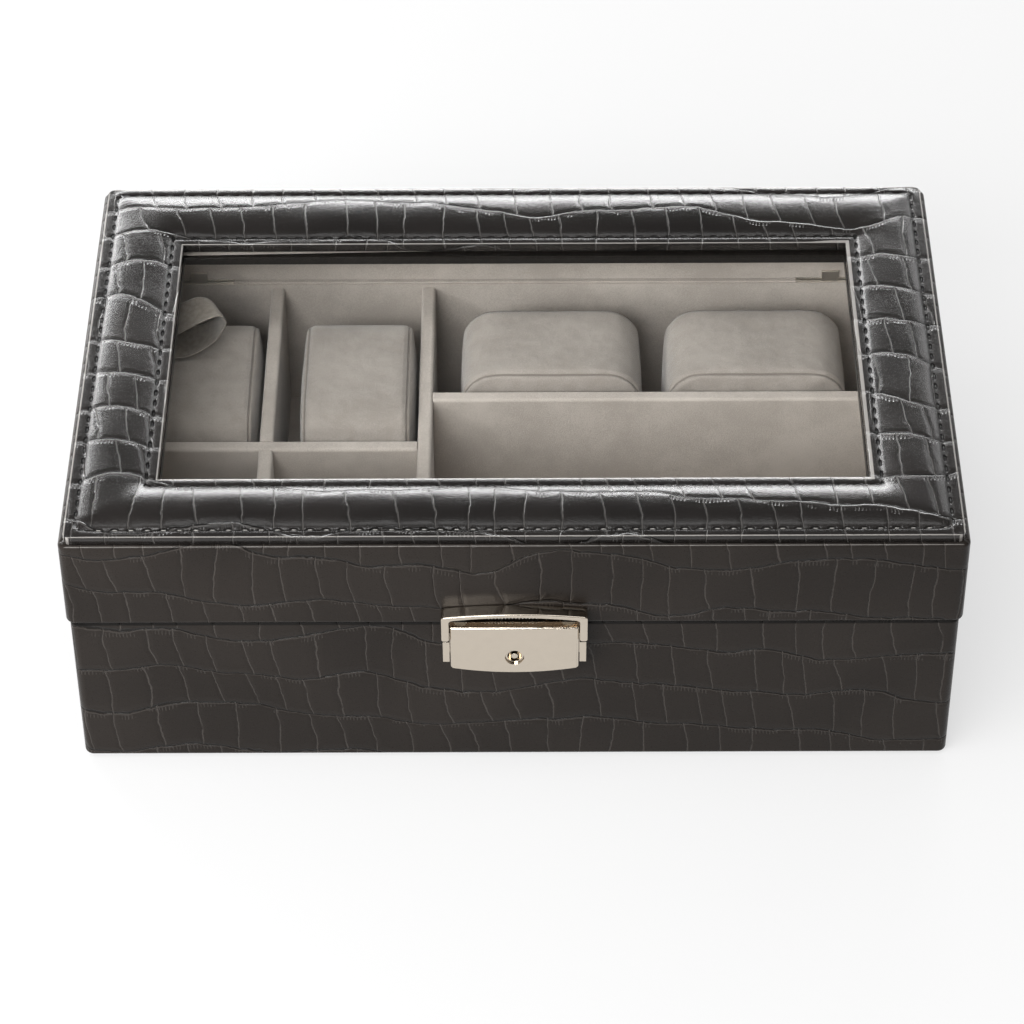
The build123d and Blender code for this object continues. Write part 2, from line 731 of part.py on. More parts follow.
# ---------------------------------------------------------------- lock, on the base
ear_out = lock_half - lock_plate_inset
z_ear_top = z_leg - ear_gap
z_ear_low = z_rim - ear_low
z_plate_top = z_rim - lock_plate_top
z_plate_low = z_rim - lock_plate_low
neck_slot_low = z_neck_low - push_travel - slide_gap
with BuildPart() as lock_base_plate:
    with BuildSketch(Plane.XZ.offset(base_front)):
        with Locations((0, (z_plate_top + z_plate_low) / 2)):
            Rectangle(2 * push_half, z_plate_top - z_plate_low)
        with Locations((0, (z_ear_top + z_ear_low) / 2)):
            Rectangle(2 * ear_out, z_ear_top - z_ear_low)
        with Locations((0, (z_neck_top + slide_gap + neck_slot_low) / 2)):
            Rectangle(
                slide_neck_w + 2 * slide_gap,
                z_neck_top + slide_gap - neck_slot_low,
                mode=Mode.SUBTRACT,
            )
    extrude(amount=lock_plate_t)
    with BuildSketch(Plane.XZ.offset(base_front)):
        for side in (-1, 1):
            with Locations((side * (ear_out + leg_in) / 2, (z_ear_top + z_ear_low) / 2)):
                Rectangle(ear_out - leg_in, z_ear_top - z_ear_low)
    extrude(amount=ear_depth)

with BuildPart() as lock_case:
    with BuildSketch(Plane.XZ.offset(y_case_back)):
        with Locations((0, (z_case_top + z_case_low) / 2)):
            Rectangle(case_w, z_case_top - z_case_low)
    extrude(amount=case_depth)
    with BuildSketch(Plane.XZ.offset(y_case_back + case_wall)):
        with Locations((0, (z_case_top + z_case_low) / 2)):
            Rectangle(case_w - 2 * case_wall, z_case_top - z_case_low - 2 * case_wall)
    extrude(amount=case_depth - case_wall, mode=Mode.SUBTRACT)

lock_screw_planes = [
    Plane((x, -base_front - lock_plate_t, z_rim - lock_screw_low), x_dir=(1, 0, 0), z_dir=(0, -1, 0))
    for x in (-lock_screw_x, lock_screw_x)
]
with BuildPart() as lock_screws:
    for plane in lock_screw_planes:
        add(countersunk_screw(plane, *lock_screw_size))
lock_screw_holes = screw_holes(lock_screw_planes, *lock_screw_size)
case_pocket = block(
    0,
    case_w + 2 * case_fit,
    -base_front,
    -y_case_back + case_fit,
    z_case_low - case_fit,
    z_case_top + case_fit,
)
neck_slot = block(
    0,
    slide_neck_w + 2 * slide_gap,
    -base_front,
    wrap_t - base_front,
    neck_slot_low,
    z_neck_top + slide_gap,
)
cut(lock_base_plate, lock_screw_holes)
cut(base_wrap, [neck_slot, *lock_screw_holes])
cut(base_board_front, [case_pocket, *lock_screw_holes])

with BuildPart() as push_plate:
    with BuildSketch(Plane.XZ.offset(y_push_back)):
        with BuildLine():
            Polyline(
                (-push_half, z_push_low),
                (-push_half, z_push_top),
                (push_half, z_push_top),
                (push_half, z_push_low),
            )
            ThreePointArc((push_half, z_push_low), (0, z_push_low - push_arch), (-push_half, z_push_low))
        make_face()
    extrude(amount=push_t)
    uprights = push_plate.edges().filter_by(Axis.Y)
    fillet(uprights.group_by(Axis.Z)[0], radius=push_corner_r)
    front_face = push_plate.faces().sort_by(Axis.Y)[0]
    chamfer(front_face.edges(), length=push_bevel)
    with BuildSketch(Plane.XZ.offset(y_push_back)):
        with Locations((0, z_key)):
            Circle(plug_r + plug_gap)
    extrude(amount=push_t, mode=Mode.SUBTRACT)

with BuildPart() as slide_block:
    with BuildSketch(Plane.XZ.offset(y_flange - slide_flange_t)):
        with Locations((0, (z_neck_top + z_neck_low) / 2)):
            Rectangle(slide_neck_w, z_neck_top - z_neck_low)
    extrude(amount=y_push_back - y_flange + slide_flange_t)
    with BuildSketch(Plane.XZ.offset(y_flange - slide_flange_t)):
        with Locations((0, (z_neck_top + z_neck_low) / 2)):
            Rectangle(slide_flange_w, z_neck_top - z_neck_low + 2 * slide_flange_lap)
    extrude(amount=slide_flange_t)
    with BuildSketch(Plane.XZ.offset(y_flange - 2 * spring_r)):
        with Locations((0, z_foot + spring_foot_t / 2)):
            Rectangle(spring_foot_w, spring_foot_t)
    extrude(amount=2 * spring_r)
    with BuildSketch(Plane.XZ.offset(y_flange - slide_flange_t)):
        with Locations((0, z_key)):
            Circle(plug_r + plug_gap)
    extrude(amount=y_push_back - y_flange + slide_flange_t, mode=Mode.SUBTRACT)

with BuildPart() as return_spring:
    with BuildSketch(Plane((0, -y_flange + spring_r, z_case_low + case_wall))):
        Circle(spring_r)
        Circle(spring_r - spring_wall, mode=Mode.SUBTRACT)
    extrude(amount=z_foot - z_case_low - case_wall)

with BuildPart() as key_plug:
    y_plug_front = y_push_front - plug_sink
    with BuildSketch(Plane.XZ.offset(y_cam)):
        with Locations((0, z_key)):
            Circle(plug_r)
    extrude(amount=y_plug_front - y_cam)
    with BuildSketch(Plane.XZ.offset(y_plug_front - keyway_depth)):
        with Locations((0, z_key)):
            Circle(keyway_r)
            Circle(keyway_pin_r, mode=Mode.SUBTRACT)
    extrude(amount=keyway_depth, mode=Mode.SUBTRACT)
    with BuildSketch(Plane.XZ.offset(y_cam)):
        with Locations((0, z_key)):
            Circle(plug_shank_r)
    extrude(amount=-cam_t)
    with BuildSketch(Plane.XZ.offset(y_cam - cam_t)):
        with Locations((0, z_key)):
            Circle(plug_head_r)
    extrude(amount=-plug_head_t)

with BuildPart() as key_cam:
    with BuildSketch(Plane.XZ.offset(y_cam - cam_t)):
        with Locations((0, z_key)):
            Circle(plug_r)
        with Locations(((cam_reach - cam_arm_w / 2) / 2, z_key)):
            Rectangle(cam_reach - cam_arm_w / 2, cam_arm_w)
        with Locations((cam_reach - cam_arm_w / 2, z_key)):
            Circle(cam_arm_w / 2)
        with Locations((0, z_key)):
            Circle(plug_shank_r, mode=Mode.SUBTRACT)
    extrude(amount=cam_t)

# ---------------------------------------------------------------------- ribbon stay
x_fold = -base_in_x + ribbon_fold_x
z_bend = z_rim + ribbon_lower_bend
z_lower = z_bend + ribbon_bend_r
z_upper = z_lower + 2 * ribbon_fold_r
with BuildPart() as lid_ribbon:
    with BuildSketch(Plane.XZ.offset(-ribbon_y - ribbon_w / 2)):
        with BuildLine() as ribbon_line:
            Line((ribbon_x, z_rim - ribbon_low), (ribbon_x, z_bend))
            RadiusArc((ribbon_x, z_bend), (ribbon_x + ribbon_bend_r, z_lower), ribbon_bend_r)
            Line((ribbon_x + ribbon_bend_r, z_lower), (x_fold, z_lower))
            ThreePointArc(
                (x_fold, z_lower), (x_fold + ribbon_fold_r, z_lower + ribbon_fold_r), (x_fold, z_upper)
            )
            Line((x_fold, z_upper), (ribbon_lid_x + ribbon_bend_r / 2, z_upper))
            RadiusArc(
                (ribbon_lid_x + ribbon_bend_r / 2, z_upper),
                (ribbon_lid_x, z_upper + ribbon_bend_r / 2),
                ribbon_bend_r / 2,
            )
            Line((ribbon_lid_x, z_upper + ribbon_bend_r / 2), (ribbon_lid_x, z_rim + ribbon_top))
        trace(line_width=ribbon_t)
    extrude(amount=ribbon_w)

# --------------------------------------------------------------------- write it out
pieces = {
    "base_felt": base_felt,
    "base_bottom_board": base_bottom_board,
    "floor_pad": floor_pad,
    "base_board_front": base_board_front,
    "base_board_rear": base_board_rear,
    "base_board_left": base_board_left,
    "base_board_right": base_board_right,
    "base_wrap": base_wrap,
    "base_lining": base_lining,
    "divider_left_rear": divider_left_rear,
    "divider_left_front": divider_left_front,
    "divider_long": divider_long,
    "divider_left_cross": divider_left_cross,
    "divider_right_cross": divider_right_cross,
    "pillow_first": pillow_first,
    "pillow_second": pillow_second,
    "pillow_third": pillow_third,
    "pillow_fourth": pillow_fourth,
    "lid_board_front": lid_board_front,
    "lid_board_rear": lid_board_rear,
    "lid_board_left": lid_board_left,
    "lid_board_right": lid_board_right,
    "lid_wrap": lid_wrap,
    "lid_lining": lid_lining,
    "glass_frame": glass_frame,
    "window_lining": window_lining,
    "glass_pane": glass_pane,
    "top_board": top_board,
    "padded_frame": padded_frame,
    "hinge_base_leaf_left": hinge_base_leaf_left,
    "hinge_base_leaf_right": hinge_base_leaf_right,
    "hinge_lid_leaf_left": hinge_lid_leaf_left,
    "hinge_lid_leaf_right": hinge_lid_leaf_right,
    "hinge_pin_left": hinge_pin_left,
    "hinge_pin_right": hinge_pin_right,
    "hinge_screws_base": hinge_screws_base,
    "hinge_screws_lid": hinge_screws_lid,
    "lid_bracket": lid_bracket,
    "lid_catch": lid_catch,
    "bracket_screws": bracket_screws,
    "lock_base_plate": lock_base_plate,
    "lock_case": lock_case,
    "lock_screws": lock_screws,
    "push_plate": push_plate,
    "slide_block": slide_block,
    "return_spring": return_spring,
    "key_plug": key_plug,
    "key_cam": key_cam,
    "lid_ribbon": lid_ribbon,
}
for name, piece in pieces.items():
    save(piece, name)
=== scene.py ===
import json
import math

import bpy
from mathutils import Matrix, Vector


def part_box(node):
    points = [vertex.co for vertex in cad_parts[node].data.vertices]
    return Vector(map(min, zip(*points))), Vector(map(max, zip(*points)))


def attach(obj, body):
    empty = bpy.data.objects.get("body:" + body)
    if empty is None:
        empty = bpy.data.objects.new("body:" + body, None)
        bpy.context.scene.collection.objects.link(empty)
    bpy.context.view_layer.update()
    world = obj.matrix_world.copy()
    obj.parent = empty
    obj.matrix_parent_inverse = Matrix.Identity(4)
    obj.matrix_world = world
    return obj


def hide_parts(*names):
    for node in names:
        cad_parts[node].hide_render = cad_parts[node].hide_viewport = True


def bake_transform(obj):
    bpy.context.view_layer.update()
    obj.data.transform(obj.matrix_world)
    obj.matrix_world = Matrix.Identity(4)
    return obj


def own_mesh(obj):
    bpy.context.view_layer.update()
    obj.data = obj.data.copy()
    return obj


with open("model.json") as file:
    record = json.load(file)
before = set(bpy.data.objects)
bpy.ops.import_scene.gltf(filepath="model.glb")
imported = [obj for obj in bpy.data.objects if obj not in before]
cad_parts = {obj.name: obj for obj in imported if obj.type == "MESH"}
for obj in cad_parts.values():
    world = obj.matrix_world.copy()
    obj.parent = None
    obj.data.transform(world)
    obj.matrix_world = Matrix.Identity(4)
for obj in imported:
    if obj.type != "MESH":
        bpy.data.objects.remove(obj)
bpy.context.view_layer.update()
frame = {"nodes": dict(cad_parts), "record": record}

# A leather-covered watch and cufflink box. The hide is embossed black leather, the
# inside is warm grey suede, the fittings are polished nickel. Lengths are written
# in millimetres and turned into metres by MM.
MM = 0.001
NODES = frame["nodes"]

# ---------------------------------------------------------------- sizes, millimetres
PANEL_X = 143.3  # padded frame, half its width
PANEL_FRONT, PANEL_REAR = -92.0, 90.0
PANEL_CORNER = 3.0  # radius of its outer corners
WINDOW_X = 114.75  # window, half its width
WINDOW_FRONT, WINDOW_REAR = -64.0, 58.0
SEAM_IN = 3.7  # stitch rows in from the padded frame's edges
SEAM_CORNER = 4.0  # radius of the outer row's corners
PANEL_LOW, MARGIN_TOP = 96.4, 99.6  # padded frame's underside, and its top beside the seams
PUFF_RISE = 2.3  # padding's height over the margins
HIDE_T = 0.8
STITCH_PITCH, STITCH_R, STITCH_L = 5.2, 0.21, 3.0
ROW_SPACING = 18.5  # rows of scales in the embossing
SCALE_WIDTH = 11.5
WALL_X, WALL_Y = 144.5, 92.5  # where the lid walls' painted edge highlight begins
WALL_HIGHLIGHT_LOW = 95.85
SEAM_SHADOW_MIDDLE = 61.7  # middle of the painted shadow line where lid and base meet
PILLOW_SEAM = 17.6  # a pillow's sewn ends, from its middle
RIBBON_W = 15.0

# half width, front and rear of the padded frame, its window and its two seams
PANEL = (PANEL_X, PANEL_FRONT, PANEL_REAR)
WINDOW = (WINDOW_X, WINDOW_FRONT, WINDOW_REAR)
OUTER_SEAM = (PANEL_X - SEAM_IN, PANEL_FRONT + SEAM_IN, PANEL_REAR - SEAM_IN)
INNER_SEAM = (WINDOW_X + SEAM_IN, WINDOW_FRONT - SEAM_IN, WINDOW_REAR + SEAM_IN)


# ------------------------------------------------------------------------ modelling
def only(*pieces):
    """Select these pieces alone, the first one active."""
    bpy.ops.object.select_all(action="DESELECT")
    for piece in pieces:
        piece.select_set(True)
    bpy.context.view_layer.objects.active = pieces[0]


def edit(piece):
    """Edit mode with all of the piece selected."""
    only(piece)
    bpy.ops.object.mode_set(mode="EDIT")
    bpy.ops.mesh.select_all(action="SELECT")


def done():
    bpy.ops.object.mode_set(mode="OBJECT")


def finish_with(piece, kind, **settings):
    """Add a modifier and apply it."""
    only(piece)
    modifier = piece.modifiers.new(kind.lower(), kind)
    for key, value in settings.items():
        setattr(modifier, key, value)
    bpy.ops.object.modifier_apply(modifier=modifier.name)


def bevelled(piece, width, segments, angle, **more):
    """Round the edges that are sharper than an angle, width in millimetres."""
    finish_with(
        piece, "BEVEL", width=width * MM, segments=segments, limit_method="ANGLE",
        angle_limit=math.radians(angle), **more,
    )


def settle():
    """Make the last primitive's place, turn and size part of its mesh."""
    bpy.ops.object.transform_apply(location=True, rotation=True, scale=True)


def smooth(piece):
    only(piece)
    bpy.ops.object.shade_smooth()


def cut(place, way, threshold=1e-6):
    """Cut the whole mesh along a plane, place in millimetres."""
    bpy.ops.mesh.select_all(action="SELECT")
    bpy.ops.mesh.bisect(plane_co=[c * MM for c in place], plane_no=way, threshold=threshold)


def pick(piece, faces=None, edges=None):
    """Select faces or edges by a test, and go to edit mode with that selection."""
    only(piece)
    mesh = piece.data
    for group in (mesh.vertices, mesh.edges, mesh.polygons):
        group.foreach_set("select", [False] * len(group))
    bpy.ops.object.mode_set(mode="EDIT")
    bpy.ops.mesh.select_mode(type="FACE" if faces else "EDGE")
    bpy.ops.object.mode_set(mode="OBJECT")
    if faces:
        for face in mesh.polygons:
            face.select = faces(face)
    else:
        for edge in mesh.edges:
            edge.select = edges(edge)
    bpy.ops.object.mode_set(mode="EDIT")


def soften(piece, angle=35):
    """Smooth shading with flat faces kept flat."""
    only(piece)
    bpy.ops.object.shade_smooth_by_angle(angle=math.radians(angle))
    finish_with(piece, "WEIGHTED_NORMAL", keep_sharp=True, weight=80)


def copied(node, name, ease=0.0, steps=2, angle=35, shade=35):
    """A clean copy of a frame node's mesh, its sharp edges eased."""
    piece = bpy.data.objects.new(name, NODES[node].data.copy())
    bpy.context.scene.collection.objects.link(piece)
    piece.data.materials.clear()
    edit(piece)
    bpy.ops.mesh.remove_doubles(threshold=2e-6)
    bpy.ops.mesh.dissolve_limited(angle_limit=math.radians(0.6))
    bpy.ops.mesh.normals_make_consistent(inside=False)
    done()
    if ease:
        bevelled(piece, ease, steps, angle, use_clamp_overlap=True, miter_outer="MITER_ARC")
    soften(piece, shade)
    return piece


def put(piece, finish, body, *nodes, slot=None):
    """Give a piece its finish, the body that it rides on and the nodes it stands for."""
    piece.data.materials.clear()
    piece.data.materials.append(finish)
    if body:
        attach(piece, body)
    if nodes:
        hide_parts(*nodes)
    return piece


def points_of(piece):
    """The piece's points in millimetres."""
    return [Vector(v.co) / MM for v in piece.data.vertices]


def set_points(piece, points):
    flat = []
    for p in points:
        flat += [p[0] * MM, p[1] * MM, p[2] * MM]
    piece.data.vertices.foreach_set("co", flat)
    piece.data.update()


def lay_hide(piece, place):
    """Store where each point lies on the hide, in millimetres, for the embossing."""
    layer = piece.data.attributes.new("hide", "FLOAT_VECTOR", "POINT")
    flat = []
    for p in points_of(piece):
        u, v = place(p)
        flat += [u, v, 0.0]
    layer.data.foreach_set("vector", flat)


def smooth_step(x, low, high):
    t = min(1.0, max(0.0, (x - low) / (high - low)))
    return t * t * (3 - 2 * t)


# -------------------------------------------------------------------- shader maths
class Signal:
    """A socket whose value varies over a surface."""

    def __init__(self, finish, socket):
        self.finish, self.socket = finish, socket

    def maths(self, operation, first, second=None):
        values = {0: first} if second is None else {0: first, 1: second}
        return self.finish.add("ShaderNodeMath", {"operation": operation}, values)

    def __add__(self, other):
        return self.maths("ADD", self, other)

    __radd__ = __add__

    def __sub__(self, other):
        return self.maths("SUBTRACT", self, other)

    def __rsub__(self, other):
        return self.maths("SUBTRACT", other, self)

    def __mul__(self, other):
        return self.maths("MULTIPLY", self, other)

    __rmul__ = __mul__

    def __truediv__(self, other):
        return self.maths("DIVIDE", self, other)

    def __pow__(self, other):
        return self.maths("POWER", self, other)

    def floor(self):
        return self.maths("FLOOR", self)

    def abs(self):
        return self.maths("ABSOLUTE", self)

    def least(self, other):
        return self.maths("MINIMUM", self, other)

    def most(self, other):
        return self.maths("MAXIMUM", self, other)

    def sine(self):
        return self.maths("SINE", self)

    def span(self, low, high, start=0.0, end=1.0):
        """Smoothly from start at low to end at high."""
        return self.finish.add(
            "ShaderNodeMapRange", {"interpolation_type": "SMOOTHSTEP"},
            {"Value": self, "From Min": low, "From Max": high, "To Min": start, "To Max": end},
        )


class Finish:
    """One material's nodes."""

    def __init__(self, name, **constants):
        self.material = bpy.data.materials.new(name)
        self.material.use_nodes = True
        self.tree = self.material.node_tree
        self.shader = self.tree.nodes["Principled BSDF"]
        for key, value in constants.items():
            self.shader.inputs[key.replace("_", " ")].default_value = value

    def add(self, kind, settings=None, values=None, output=0):
        """Any node: its settings, then its sockets' values or links."""
        node = self.tree.nodes.new(kind)
        for key, value in (settings or {}).items():
            if key == "stops":
                ramp = node.color_ramp
                while len(ramp.elements) < len(value):
                    ramp.elements.new(0.5)
                for element, (place, colour) in zip(ramp.elements, value):
                    element.position, element.color = place, (*colour, 1.0)
            else:
                setattr(node, key, value)
        for key, value in (values or {}).items():
            self.feed(node.inputs[key], value)
        return Signal(self, node.outputs[output])

    def feed(self, socket, value):
        if isinstance(value, Signal):
            self.tree.links.new(value.socket, socket)
        else:
            socket.default_value = value

    def parts(self, vector):
        split = self.add("ShaderNodeSeparateXYZ", values={"Vector": vector}).socket.node
        return [Signal(self, split.outputs[n]) for n in range(3)]

    def scaled(self, vector, factors):
        return self.add("ShaderNodeVectorMath", {"operation": "MULTIPLY"}, {0: vector, 1: factors})

    def place(self):
        """The point on the piece, in millimetres."""
        return self.scaled(self.add("ShaderNodeTexCoord", output="Object"), (1000.0, 1000.0, 1000.0))

    def on_hide(self):
        """The point's place on the flat hide or ribbon, in millimetres."""
        return self.add("ShaderNodeAttribute", {"attribute_name": "hide"}, output="Vector")

    def noise(self, vector, scale=1.0, detail=2.0, rough=0.5):
        values = {"Vector": vector, "Scale": scale, "Detail": detail, "Roughness": rough}
        return self.add("ShaderNodeTexNoise", None, values)

    def mixed(self, factor, first, second):
        """Two colours mixed by a factor."""
        node = self.tree.nodes.new("ShaderNodeMix")
        node.data_type = "RGBA"
        self.feed(node.inputs[0], factor)
        self.feed(node.inputs[6], first if isinstance(first, Signal) else (*first, 1.0))
        self.feed(node.inputs[7], second if isinstance(second, Signal) else (*second, 1.0))
        return Signal(self, node.outputs[2])

    def colour(self, value):
        self.feed(self.shader.inputs["Base Color"], value)

    def roughness(self, value):
        self.feed(self.shader.inputs["Roughness"], value)

    def relief(self, height):
        """A height in millimetres as bump."""
        bump = self.add("ShaderNodeBump", None, {"Height": height, "Distance": MM, "Strength": 1.0})
        self.feed(self.shader.inputs["Normal"], bump)


# --------------------------------------------------------------------------- finishes
def stitch_pits(x, y):
    """Dents where the threads of both seams pull the leather in; they also darken it as painted shade."""
    pits = None
    for half_x, front, rear in (OUTER_SEAM, INNER_SEAM):
        middle, half_y = (front + rear) / 2, (rear - front) / 2
        across, deep = x.abs() - half_x, (y - middle).abs() - half_y
        sides = ((across, y - middle, deep, half_y), (deep, x, across, half_x))
        for off, run, other, length in sides:
            pitch = 2 * length / round(2 * length / STITCH_PITCH)
            turn = run / pitch
            step = (turn.maths("FRACT", turn) - 0.5).abs() * pitch
            reach = ((step / 1.7) ** 2.0 + (off / 0.6) ** 2.0) ** 0.5
            pit = reach.span(0.35, 1.15, 1.0, 0.0) * other.span(0.2, 0.6, 1.0, 0.0)
            pits = pit if pits is None else pits.most(pit)
    return pits


def painted_edge_highlights(x, y):
    """Painted highlight lines along the padded frame's edge and, wider at the right, the window's."""
    highlight_lines = None
    for (half_x, front, rear), inset in ((PANEL, 0.4), (WINDOW, -0.4)):
        edge = (x.abs() - half_x).most((y - (front + rear) / 2).abs() - (rear - front) / 2)
        wide = x.span(100.0, 112.0, 0.0, 0.35) if inset < 0 else 0.0
        lip = ((edge + inset - wide).abs() - wide).span(0.12, 0.34, 1.0, 0.0)
        highlight_lines = lip if highlight_lines is None else highlight_lines.most(lip)
    return highlight_lines


def embossed_hide(name, dark, pale, line_highlight, gloss, satin_rough, stitched=False):
    """Black leather embossed with rows of scales; its lines and edges carry painted highlights, its
    grooves and stitch pits painted shade.
    """
    hide = Finish(name, IOR=1.5, Specular_IOR_Level=gloss)
    flat = hide.on_hide()
    u, v, _ = hide.parts(flat)
    sway = hide.noise(flat, 0.02, 1.0) - 0.5
    ripple = hide.noise(flat, 0.16, 2.0) - 0.5

    # rows: past is the distance to the nearest line between two rows
    rows = (v + 0.05 * u + 26.0 * sway + 2.0 * ripple) / ROW_SPACING
    row = rows.floor()
    within = (rows - row) * ROW_SPACING
    past = within - ROW_SPACING * within.maths("GREATER_THAN", within, ROW_SPACING / 2)

    # scales: scale_gap is the distance to the nearest line between two scales of a row
    along = (u + 12.0 * sway + 1.5 * ripple + within * 0.1) / SCALE_WIDTH + row * 31.7
    scale_gap = SCALE_WIDTH * hide.add(
        "ShaderNodeTexVoronoi", {"voronoi_dimensions": "1D", "feature": "DISTANCE_TO_EDGE"},
        {"W": along, "Scale": 1.0, "Randomness": 0.8},
    )
    faint = (ripple + 0.5).span(0.3, 0.44, 0.35, 1.0)
    row_line = past.abs().span(0.12, 0.5, 1.0, 0.0)
    row_edge_highlight = (past + 0.68).abs().span(0.08, 0.3, 1.0, 0.0) * faint
    scale_line = scale_gap.span(0.08, 0.38, 1.0, 0.0) * faint
    swell = past.abs().least(scale_gap * 1.5).span(0.0, 2.6)

    # short creases that run off some of the row lines
    run = (u + 1.5 * ripple) / 1.15
    teeth = (run.maths("FRACT", run) - 0.5).abs().span(0.1, 0.26, 1.0, 0.0)
    beside = (past + 1.7).abs().span(0.4, 1.0, 1.0, 0.0)
    fringe = teeth * beside * (ripple + 0.5).span(0.46, 0.6)

    pores = hide.noise(flat, 1.9, 3.0, 0.65)
    crease = hide.noise(flat, 0.6, 2.0, 0.6)
    height = (
        0.13 * swell - 0.3 * row_line - 0.2 * scale_line - 0.14 * fringe
        + 0.07 * (pores - 0.5) + 0.04 * (crease - 0.5)
    )
    shade = hide.mixed((sway + 0.5).span(0.3, 0.7), dark, pale)
    # painted shade: the row lines' grooves are darkened to near black
    shade = hide.mixed(row_line * 0.8, shade, (0.004, 0.0034, 0.003))
    # painted highlights: pale lines along the scale edges, the row lines' lower lips and the creases
    lines = (row_edge_highlight * 0.5).most(scale_line * 0.6).most(fringe * 0.4)
    shade = hide.mixed(lines, shade, line_highlight)
    shine = satin_rough + 0.13 * pores + 0.05 * crease
    x, y, z = hide.parts(hide.place())
    if stitched:
        pits = stitch_pits(x, y)
        # painted highlights along the padded frame's outer edge and the window's edge
        shade = hide.mixed(painted_edge_highlights(x, y) * 0.8, shade, (0.28, 0.265, 0.25))
        # painted shade: the stitch dents are darkened to near black
        shade = hide.mixed(pits * 0.85, shade, (0.004, 0.004, 0.004))
        height = height - 0.6 * pits
        shine = shine + 0.2 * pits
    else:
        # painted shadow: a near-black band on the walls where lid and base meet
        seam_shadow = (z - SEAM_SHADOW_MIDDLE).abs().span(0.5, 1.0, 1.0, 0.0)
        shade = hide.mixed(seam_shadow * 0.9, shade, (0.002, 0.0017, 0.0015))
        shine = shine + 0.3 * seam_shadow
        # painted highlight: a pale line along the lid walls' top edge, broken up by the grain
        outer = (x.abs() - WALL_X).most(y.abs() - WALL_Y).span(-0.1, 0.1)
        top_edge_highlight = z.span(WALL_HIGHLIGHT_LOW, WALL_HIGHLIGHT_LOW + 0.25) * outer
        shade = hide.mixed(top_edge_highlight * (0.55 + 0.45 * pores), shade, (0.24, 0.225, 0.21))
    hide.colour(shade)
    hide.roughness(shine)
    hide.relief(height)
    return hide.material


SUEDE_DARK, SUEDE_PALE = (0.40, 0.360, 0.322), (0.50, 0.454, 0.41)
# painted shade: the pillows' suede is a darker copy of the cards', to offset the light on their tops
PILLOW_SHADED_TONE = 0.72


def napped(name, tone, brush_scale, patch_scale):
    """Warm grey suede: its nodes, its two shades and the three patterns of its nap."""
    cloth = Finish(name, Specular_IOR_Level=0.15, Sheen_Weight=0.35, Sheen_Roughness=0.45)
    flat = cloth.place()
    brushed = cloth.noise(flat, brush_scale, 2.0)
    patch = cloth.noise(flat, patch_scale, 2.0)
    fuzz = cloth.noise(flat, 2.2, 3.0, 0.7)
    cloth.roughness(0.86 + 0.1 * fuzz)
    shades = [tuple(tone * c for c in shade) for shade in (SUEDE_DARK, SUEDE_PALE)]
    return cloth, shades, brushed, patch, fuzz


def suede(name, tone):
    """A short nap brushed lighter and darker."""
    cloth, shades, brushed, patch, fuzz = napped(name, tone, 0.035, 0.16)
    cloth.colour(cloth.mixed((0.38 * brushed + 0.17 * patch + 0.45 * fuzz).span(0.4, 0.6), *shades))
    cloth.relief(0.22 * fuzz + 0.12 * patch)
    return cloth.material


def pillow_suede(name, centre, axis):
    """The same suede in a darker tone, painted shade that offsets the light on the pillows, with the end
    seams of a pillow sewn in.
    """
    cloth, shades, brushed, patch, fuzz = napped(name, PILLOW_SHADED_TONE, 0.05, 0.2)
    ends = cloth.parts(cloth.place())[axis] - centre
    seam = (ends.abs() - PILLOW_SEAM).abs()
    line = seam.span(0.1, 0.55, 1.0, 0.0)
    fold = seam.span(0.3, 2.0, 1.0, 0.0)
    shade = cloth.mixed((0.35 * brushed + 0.2 * patch + 0.45 * fuzz).span(0.38, 0.62), *shades)
    cloth.colour(cloth.mixed(line * 0.65, shade, (0.13, 0.108, 0.09)))
    cloth.relief(0.2 * fuzz + 0.5 * patch + 0.5 * brushed - 0.35 * line - 0.2 * fold)
    return cloth.material


def polished(name, colour, rough=0.07, brushed=0.0):
    """Plated metal with faint handling marks."""
    metal = Finish(name, Metallic=1.0)
    flat = metal.place()
    cloudy = metal.noise(flat, 0.35, 3.0)
    hair = metal.noise(metal.scaled(flat, (0.5, 3.0, 6.0)), 1.0, 2.0)
    metal.colour(metal.mixed(cloudy.span(0.35, 0.7), colour, tuple(0.985 * c for c in colour)))
    metal.roughness(rough + 0.04 * cloudy.span(0.45, 0.75) + (0.04 + brushed) * hair)
    metal.relief((0.003 + 0.02 * brushed) * hair)
    return metal.material


def clear_glass(name):
    """A pane: see-through, with a Fresnel gloss and a light haze."""
    glass = Finish(name)
    tree = glass.tree
    tree.nodes.remove(glass.shader)
    output = tree.nodes["Material Output"]
    flat = glass.place()
    haze = glass.noise(flat, 0.02, 2.0).span(0.35, 0.7, 0.02, 0.06)
    through = glass.add("ShaderNodeBsdfTransparent", None, {"Color": (0.985, 0.987, 0.984, 1.0)})
    gloss = glass.add("ShaderNodeBsdfGlossy", None, {"Color": (1.0, 1.0, 1.0, 1.0), "Roughness": haze})
    bend = glass.add("ShaderNodeFresnel", None, {"IOR": 1.45})
    front = 1.0 - glass.add("ShaderNodeNewGeometry", output="Backfacing")
    mix = glass.add("ShaderNodeMixShader", None, {0: bend * front, 1: through, 2: gloss})
    tree.links.new(mix.socket, output.inputs["Surface"])
    return glass.material


